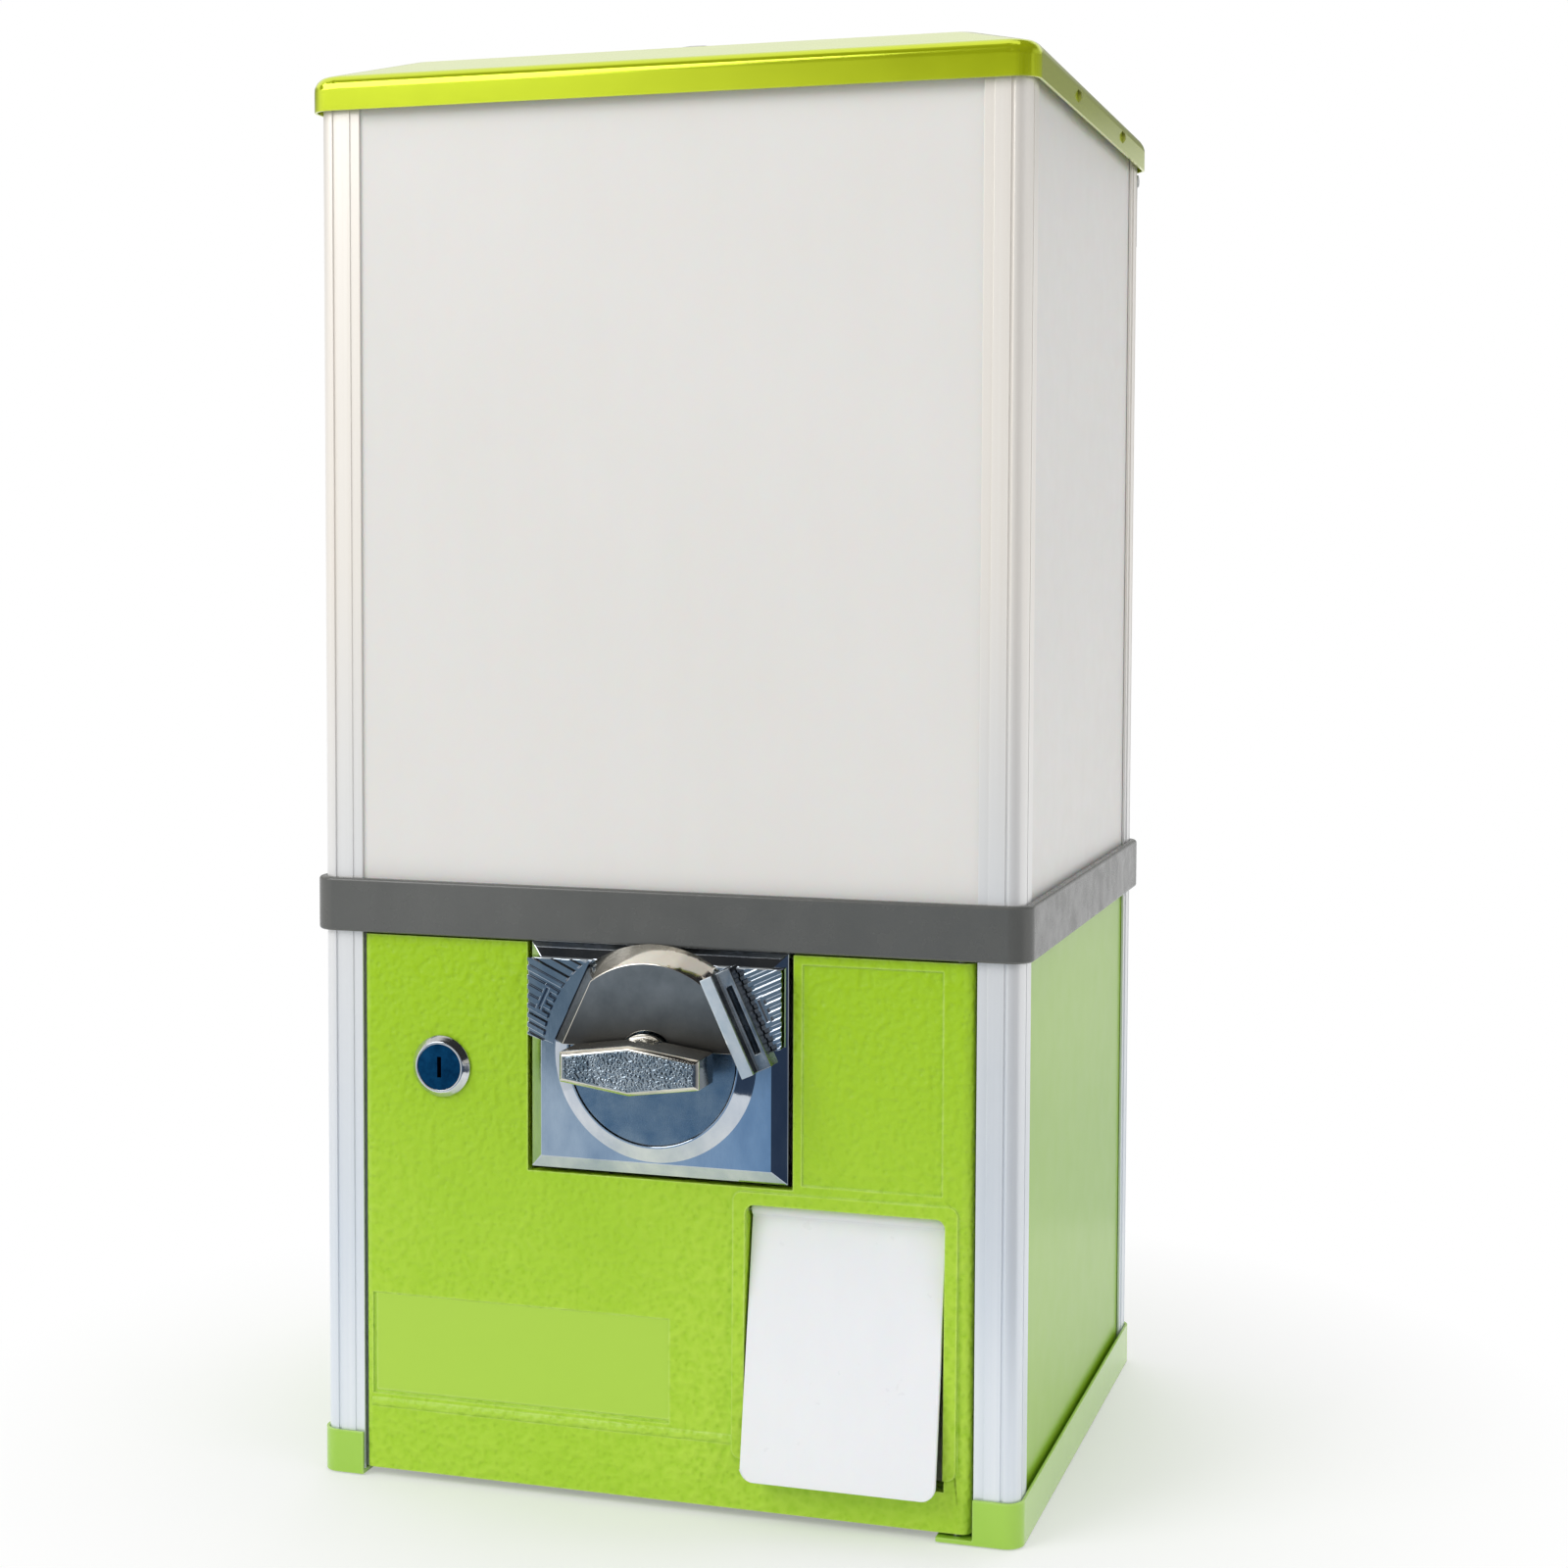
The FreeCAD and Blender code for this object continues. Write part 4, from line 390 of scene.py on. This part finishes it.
front_facing = (0, -1, 0)
hood_flat_facing = (-0.743, -0.573, 0.346)
slot_front = min(v.co.y for v in nodes["coin_slot"].data.vertices)
ridge_depth = 1.1 * MM
own_finishes = {
    # The hood's face is darker near the handle: a painted shadow of the handle.
    "coin_hood": plated(
        "coin_hood_plating", satin=(linear(112, 119, 124), linear(136, 142, 146)), satin_rough=0.42,
        axes=(front_facing, hood_flat_facing), dark=linear(236, 230, 218), light=linear(250, 246, 236),
        rough=(0.05, 0.09), drift=45.0, shade=(*hood_shadow_heights, linear(72, 71, 69))),
    "coin_dial": plated(
        "coin_dial_plating", satin=(linear(94, 124, 153), linear(136, 157, 176)), satin_rough=0.30,
        axes=(front_facing,), dark=linear(128, 140, 152), light=linear(206, 208, 210),
        rough=(0.06, 0.18), drift=45.0),
    "turn_handle": metal(
        "turn_handle_plating", dark=linear(176, 176, 172), light=linear(228, 224, 214),
        rough=(0.05, 0.15), drift=50.0, grain=1700.0, depth=0.004 * MM),
    "coin_slot": ridged("coin_slot_plating", slot_front + ridge_depth),
    "lid_rivets": metal(
        "lid_rivet_heads", dark=linear(140, 146, 44), light=linear(166, 172, 72), rough=(0.35, 0.55),
        drift=300.0, grain=1500.0, depth=0.01 * MM),
}


def smooth_group():
    """Shades curved faces smoothly and keeps the edges that turn by more than a given angle."""
    group = bpy.data.node_groups.new("smooth_by_turn", "GeometryNodeTree")
    group.interface.new_socket("Geometry", in_out="INPUT", socket_type="NodeSocketGeometry")
    limit = group.interface.new_socket("Turn", in_out="INPUT", socket_type="NodeSocketFloat")
    group.interface.new_socket("Geometry", in_out="OUTPUT", socket_type="NodeSocketGeometry")
    entry = group.nodes.new("NodeGroupInput")
    leave = group.nodes.new("NodeGroupOutput")
    turn = group.nodes.new("GeometryNodeInputMeshEdgeAngle")
    sharp = group.nodes.new("FunctionNodeCompare")
    sharp.data_type = "FLOAT"
    sharp.operation = "GREATER_THAN"
    normals = group.nodes.new("GeometryNodeSetMeshNormal")
    normals.mode = "SHARPNESS"
    normals.inputs["Remove Custom"].default_value = True
    normals.inputs["Face Sharpness"].default_value = False
    group.links.new(entry.outputs[0], normals.inputs["Mesh"])
    group.links.new(turn.outputs["Unsigned Angle"], sharp.inputs["A"])
    group.links.new(entry.outputs["Turn"], sharp.inputs["B"])
    group.links.new(sharp.outputs["Result"], normals.inputs["Edge Sharpness"])
    group.links.new(normals.outputs[0], leave.inputs[0])
    return group, limit.identifier


smooth, turn_limit = smooth_group()
weld_reach = 0.002 * MM

# Turns in degrees: what counts as flat, as an edge to round, and as an edge to keep sharp in the shading.
flat_turn = 0.4
post_flat_turn = 3.0
edge_turn = 32.0
shallow_edge_turn = {"lid": 2.0}
sharp_turn = {"mech_plate": 9.0}

# Widths of the rounded edges in millimetres.
plain_edge = 0.15
sheet_edge = 0.25
edge_width = {name: sheet_edge for name in nodes if name.startswith(("window_", "lower_panel_"))}
edge_width.update({
    "front_door": 0.18, "base_tray": 0.35, "mid_band": 0.4, "delivery_flap": 0.7, "lid": 0.12,
    "mech_plate": 0.22, "coin_hood": 0.4, "coin_slot": 0.45, "coin_dial": 0.3, "turn_handle": 0.4,
    "door_lock_housing": 0.25, "lid_lock_housing": 0.25})


def dress(name, piece):
    """Joins the flat faces of a CAD piece, rounds and shades its edges, and gives it its finish."""
    weld = piece.modifiers.new("weld", "WELD")
    weld.merge_threshold = weld_reach
    flat = piece.modifiers.new("flat", "DECIMATE")
    flat.decimate_type = "DISSOLVE"
    flat.angle_limit = math.radians(post_flat_turn if name.startswith("corner_post") else flat_turn)
    # Where shallow edges are rounded, the faces stay whole, so that no side of a triangle counts as an edge.
    if name not in shallow_edge_turn:
        split = piece.modifiers.new("split", "TRIANGULATE")
        split.min_vertices = 5
    bevel = piece.modifiers.new("edge", "BEVEL")
    bevel.width = edge_width.get(name, plain_edge) * MM
    bevel.segments = 2
    bevel.limit_method = "ANGLE"
    bevel.angle_limit = math.radians(shallow_edge_turn.get(name, edge_turn))
    bevel.use_clamp_overlap = False
    shade = piece.modifiers.new("shade", "NODES")
    shade.node_group = smooth
    shade[turn_limit] = math.radians(sharp_turn.get(name, edge_turn))
    level = piece.modifiers.new("level", "WEIGHTED_NORMAL")
    level.keep_sharp = True
    level.weight = 100
    piece.data.materials.clear()
    piece.data.materials.append(own_finishes.get(name, finishes[slot_of[name]]))


for name, piece in nodes.items():
    dress(name, piece)


def pebble_height(x, z):
    """How far the pebbles rise at a place of the handle's face, all in millimetres."""
    pebbles_per_mm = 1.05
    dome_reach = 0.75
    drifts_per_mm = 0.35
    lowest, highest = 0.22, 0.42
    drift_plane = 7.0
    nearest = noise.voronoi(Vector((x, 0.0, z)) * pebbles_per_mm)[0][0]
    dome = max(0.0, 1.0 - (nearest / dome_reach) ** 2)
    drift = 0.5 + 0.5 * noise.noise(Vector((x, drift_plane, z)) * drifts_per_mm)
    return dome * (lowest + (highest - lowest) * drift)


def handle_face():
    """The pebbled field that fills the handle's sunk front and reaches over its rim to the bevel."""
    points = [v.co for v in nodes["turn_handle"].data.vertices]
    front = min(co.y for co in points)
    level_within, end_within = 0.05 * MM, 0.2 * MM
    rim = [co for co in points if abs(co.y - front) < level_within]
    middle_z = (min(co.z for co in rim) + max(co.z for co in rim)) / 2
    reach = max(abs(co.x) for co in rim)
    half_middle = max(co.z - middle_z for co in rim)
    half_end = max(co.z - middle_z for co in rim if abs(co.x) > reach - end_within)
    inset, fade, lift, sunk = 0.25 * MM, 0.6 * MM, 0.02 * MM, 0.4 * MM
    along, across = 250, 104
    verts = []
    for i in range(along + 1):
        u = 2 * i / along - 1
        half = half_middle + (half_end - half_middle) * abs(u)
        for j in range(across + 1):
            v = 2 * j / across - 1
            x = u * (reach - inset)
            z = v * (half - inset)
            inward = min((1 - abs(u)) * reach, (1 - abs(v)) * half)
            rise = min(1.0, inward / fade) * pebble_height(x / MM, z / MM) * MM
            verts.append((x, front - lift - rise, middle_z + z))
    row = across + 1
    faces = []
    for i in range(along):
        for j in range(across):
            a = i * row + j
            faces.append((a, a + 1, a + row + 1, a + row))
    border = [i * row for i in range(along + 1)]
    border += [along * row + j for j in range(1, row)]
    border += [i * row + across for i in range(along - 1, -1, -1)]
    border += list(range(across - 1, 0, -1))
    back = len(verts)
    verts += [(verts[a][0], front + sunk, verts[a][2]) for a in border]
    count = len(border)
    for k in range(count):
        after = (k + 1) % count
        faces.append((border[k], border[after], back + after, back + k))
    faces.append(tuple(range(back, back + count)))
    mesh = bpy.data.meshes.new("handle_face")
    mesh.from_pydata(verts, [], faces)
    mesh.validate()
    mesh.shade_smooth()
    piece = bpy.data.objects.new("handle_face", mesh)
    bpy.context.scene.collection.objects.link(piece)
    mesh.materials.append(metal(
        "handle_face_casting", dark=linear(80, 98, 112), light=linear(158, 170, 180), rough=(0.10, 0.22),
        drift=90.0, grain=2200.0, depth=0.03 * MM))
    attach(piece, "knob")


handle_face()


def studio_floor():
    """A pale round sheet that keeps the shadow and turns to plain white away from the object."""
    reach, sides, gap = 0.45, 96, 0.5 * MM
    near, far, near_whiteness = 0.16, 0.40, 0.30
    turns = [2 * math.pi * i / sides for i in range(sides)]
    outline = [(reach * math.cos(turn), reach * math.sin(turn), 0) for turn in turns]
    mesh = bpy.data.meshes.new("floor")
    mesh.from_pydata(outline, [], [tuple(range(sides))])
    floor = bpy.data.objects.new("floor", mesh)
    floor.location.z = -gap
    bpy.context.scene.collection.objects.link(floor)
    made = Finish("floor_sweep", Specular_IOR_Level=0.2)
    made.drive("Base Color", made.mixed(made.noise(3.0), linear(240, 240, 240), linear(246, 246, 246)))
    made.drive("Roughness", made.spread(made.noise(30.0), 0.7, 0.9))
    away = made.vector("LENGTH", made.where.outputs["Object"])
    whiter = made.spread(away, near_whiteness, 1.0, start=near, stop=far)
    seen = made.rays("Is Camera Ray", "Is Glossy Ray", "Is Transmission Ray")
    white = made.node("ShaderNodeEmission", Color=WHITE)
    surface = made.either(
        made.math("MULTIPLY", seen, whiter), made.shader.outputs["BSDF"], white.outputs["Emission"])
    made.feed(made.output.inputs["Surface"], surface)
    mesh.materials.append(made.material)


studio_floor()


def mirrored_room(made):
    """What metal mirrors: a room, pale at the left and behind, blue in front and dark at the right."""
    across = made.spread(made.along("X", "Generated"), start=-1.0, stop=1.0)
    depth = made.along("Y", "Generated")
    height = made.along("Z", "Generated")
    slant_axis = (1.0, 0.3, 0.0)
    slant = made.vector("DOT_PRODUCT", made.where.outputs["Generated"], slant_axis)
    rearward = made.spread(depth, start=-0.25, stop=0.05)
    wall, grey, cream = (0.95, 0.94, 0.92), (0.80, 0.80, 0.80), (1.0, 0.97, 0.91)
    left = [(0.02, wall), (0.27, (0.80, 0.84, 0.88))]
    right = [(0.46, (0.06, 0.10, 0.16)), (0.94, (0.04, 0.06, 0.10)), (1.0, grey)]
    low = made.steps(across, [
        *left, (0.32, (0.46, 0.58, 0.70)), (0.355, (0.22, 0.38, 0.60)), (0.40, (0.18, 0.30, 0.42)), *right])
    slate = made.steps(across, [
        *left, (0.30, (0.17, 0.24, 0.30)), (0.375, (0.15, 0.20, 0.25)), (0.40, (0.36, 0.54, 0.72)), *right])
    eye_level = made.steps(across, [
        (0.02, wall), (0.27, (1.0, 0.97, 0.90)), (0.40, cream), (0.50, (0.70, 0.70, 0.70)),
        (0.72, (0.20, 0.20, 0.20)), (1.0, grey)])
    brow = made.steps(across, [
        (0.02, (1.0, 0.98, 0.94)), (0.28, cream), (0.33, (0.85, 0.83, 0.76)), (0.39, (0.05, 0.05, 0.04)),
        (0.94, (0.03, 0.03, 0.04)), (1.0, (0.50, 0.50, 0.50))])
    above = made.steps(made.spread(slant, start=-0.5, stop=1.0), [
        (0.0, (1.0, 0.96, 0.88)), (0.30, (1.0, 0.95, 0.85)), (0.36, (0.02, 0.02, 0.02)),
        (0.85, (0.02, 0.02, 0.03)), (1.0, (0.55, 0.55, 0.55))])
    overhead_front, overhead_rear = (0.03, 0.03, 0.03, 1), (0.88, 0.88, 0.86, 1)
    overhead = made.mixed(made.spread(depth, start=-0.28, stop=-0.18), overhead_front, above)
    overhead = made.mixed(made.spread(depth, start=0.45, stop=0.70), overhead, overhead_rear)
    low_rear = (0.80, 0.82, 0.84, 1)
    room = made.mixed(rearward, low, low_rear)
    for level, rear, start, stop in (
            (slate, (0.95, 0.95, 0.95, 1), -0.205, -0.185),
            (eye_level, (0.82, 0.82, 0.82, 1), -0.09, 0.0),
            (brow, (0.22, 0.22, 0.20, 1), 0.13, 0.17)):
        ring = made.mixed(rearward, level, rear)
        room = made.mixed(made.spread(height, start=start, stop=stop), room, ring)
    return made.mixed(made.spread(height, start=0.24, stop=0.36), room, overhead)


def studio_world():
    """White where it is looked at, an even fill for light, and a room of its own for metal."""
    world = bpy.data.worlds.new("studio")
    world.use_nodes = True
    made = Shading(world.node_tree)
    white = made.node("ShaderNodeBackground", Color=WHITE)
    fill = made.node("ShaderNodeBackground", Color=WHITE, Strength=0.62)
    room = made.node("ShaderNodeBackground", Color=mirrored_room(made))
    unseen = made.either(
        made.rays("Is Glossy Ray"), fill.outputs["Background"], room.outputs["Background"])
    seen = made.rays("Is Camera Ray", "Is Transmission Ray")
    surface = made.either(seen, unseen, white.outputs["Background"])
    made.node("ShaderNodeOutputWorld", Surface=surface)
    bpy.context.scene.world = world


studio_world()


def soft_light(name, place, size, power, mirrored):
    """A rectangular lamp, aimed at the object's middle, that metal mirrors or not."""
    target = (0, 0, 0.30)
    data = bpy.data.lights.new(name, "AREA")
    data.shape = "RECTANGLE"
    data.size, data.size_y = size
    data.energy = power
    light = bpy.data.objects.new(name, data)
    light.location = place
    aim = Vector(target) - Vector(place)
    light.rotation_euler = aim.to_track_quat("-Z", "Y").to_euler()
    light.visible_camera = False
    light.visible_glossy = mirrored
    bpy.context.scene.collection.objects.link(light)


soft_light("key", place=(-1.5, -1.9, 1.9), size=(1.6, 1.6), power=34, mirrored=True)
soft_light("fill", place=(2.2, -0.9, 1.1), size=(1.4, 1.8), power=8, mirrored=False)
soft_light("top", place=(0.1, 0.6, 2.3), size=(1.6, 1.6), power=16, mirrored=False)


def photo_camera():
    """The camera of the photograph: its lens in millimetres, its place in metres, its turns in degrees."""
    data = bpy.data.cameras.new("camera")
    data.sensor_width = 36.0
    data.lens = 59.33
    data.shift_y = -0.0570
    data.clip_start = 0.05
    place = (0.36572, -1.15448, 0.40577)
    yaw, pitch, roll = (math.radians(turn) for turn in (16.93, -3.06, 0.23))
    ahead = Vector((
        -math.sin(yaw) * math.cos(pitch), math.cos(yaw) * math.cos(pitch), math.sin(pitch)))
    right = Vector((math.cos(yaw), math.sin(yaw), 0))
    up = right.cross(ahead)
    rolled_right = right * math.cos(roll) + up * math.sin(roll)
    rolled_up = up * math.cos(roll) - right * math.sin(roll)
    turned = Matrix((rolled_right, rolled_up, -ahead)).transposed().to_4x4()
    camera = bpy.data.objects.new("camera", data)
    camera.matrix_world = Matrix.Translation(place) @ turned
    bpy.context.scene.collection.objects.link(camera)
    bpy.context.scene.camera = camera


photo_camera()
bpy.context.scene.view_settings.view_transform = "Standard"
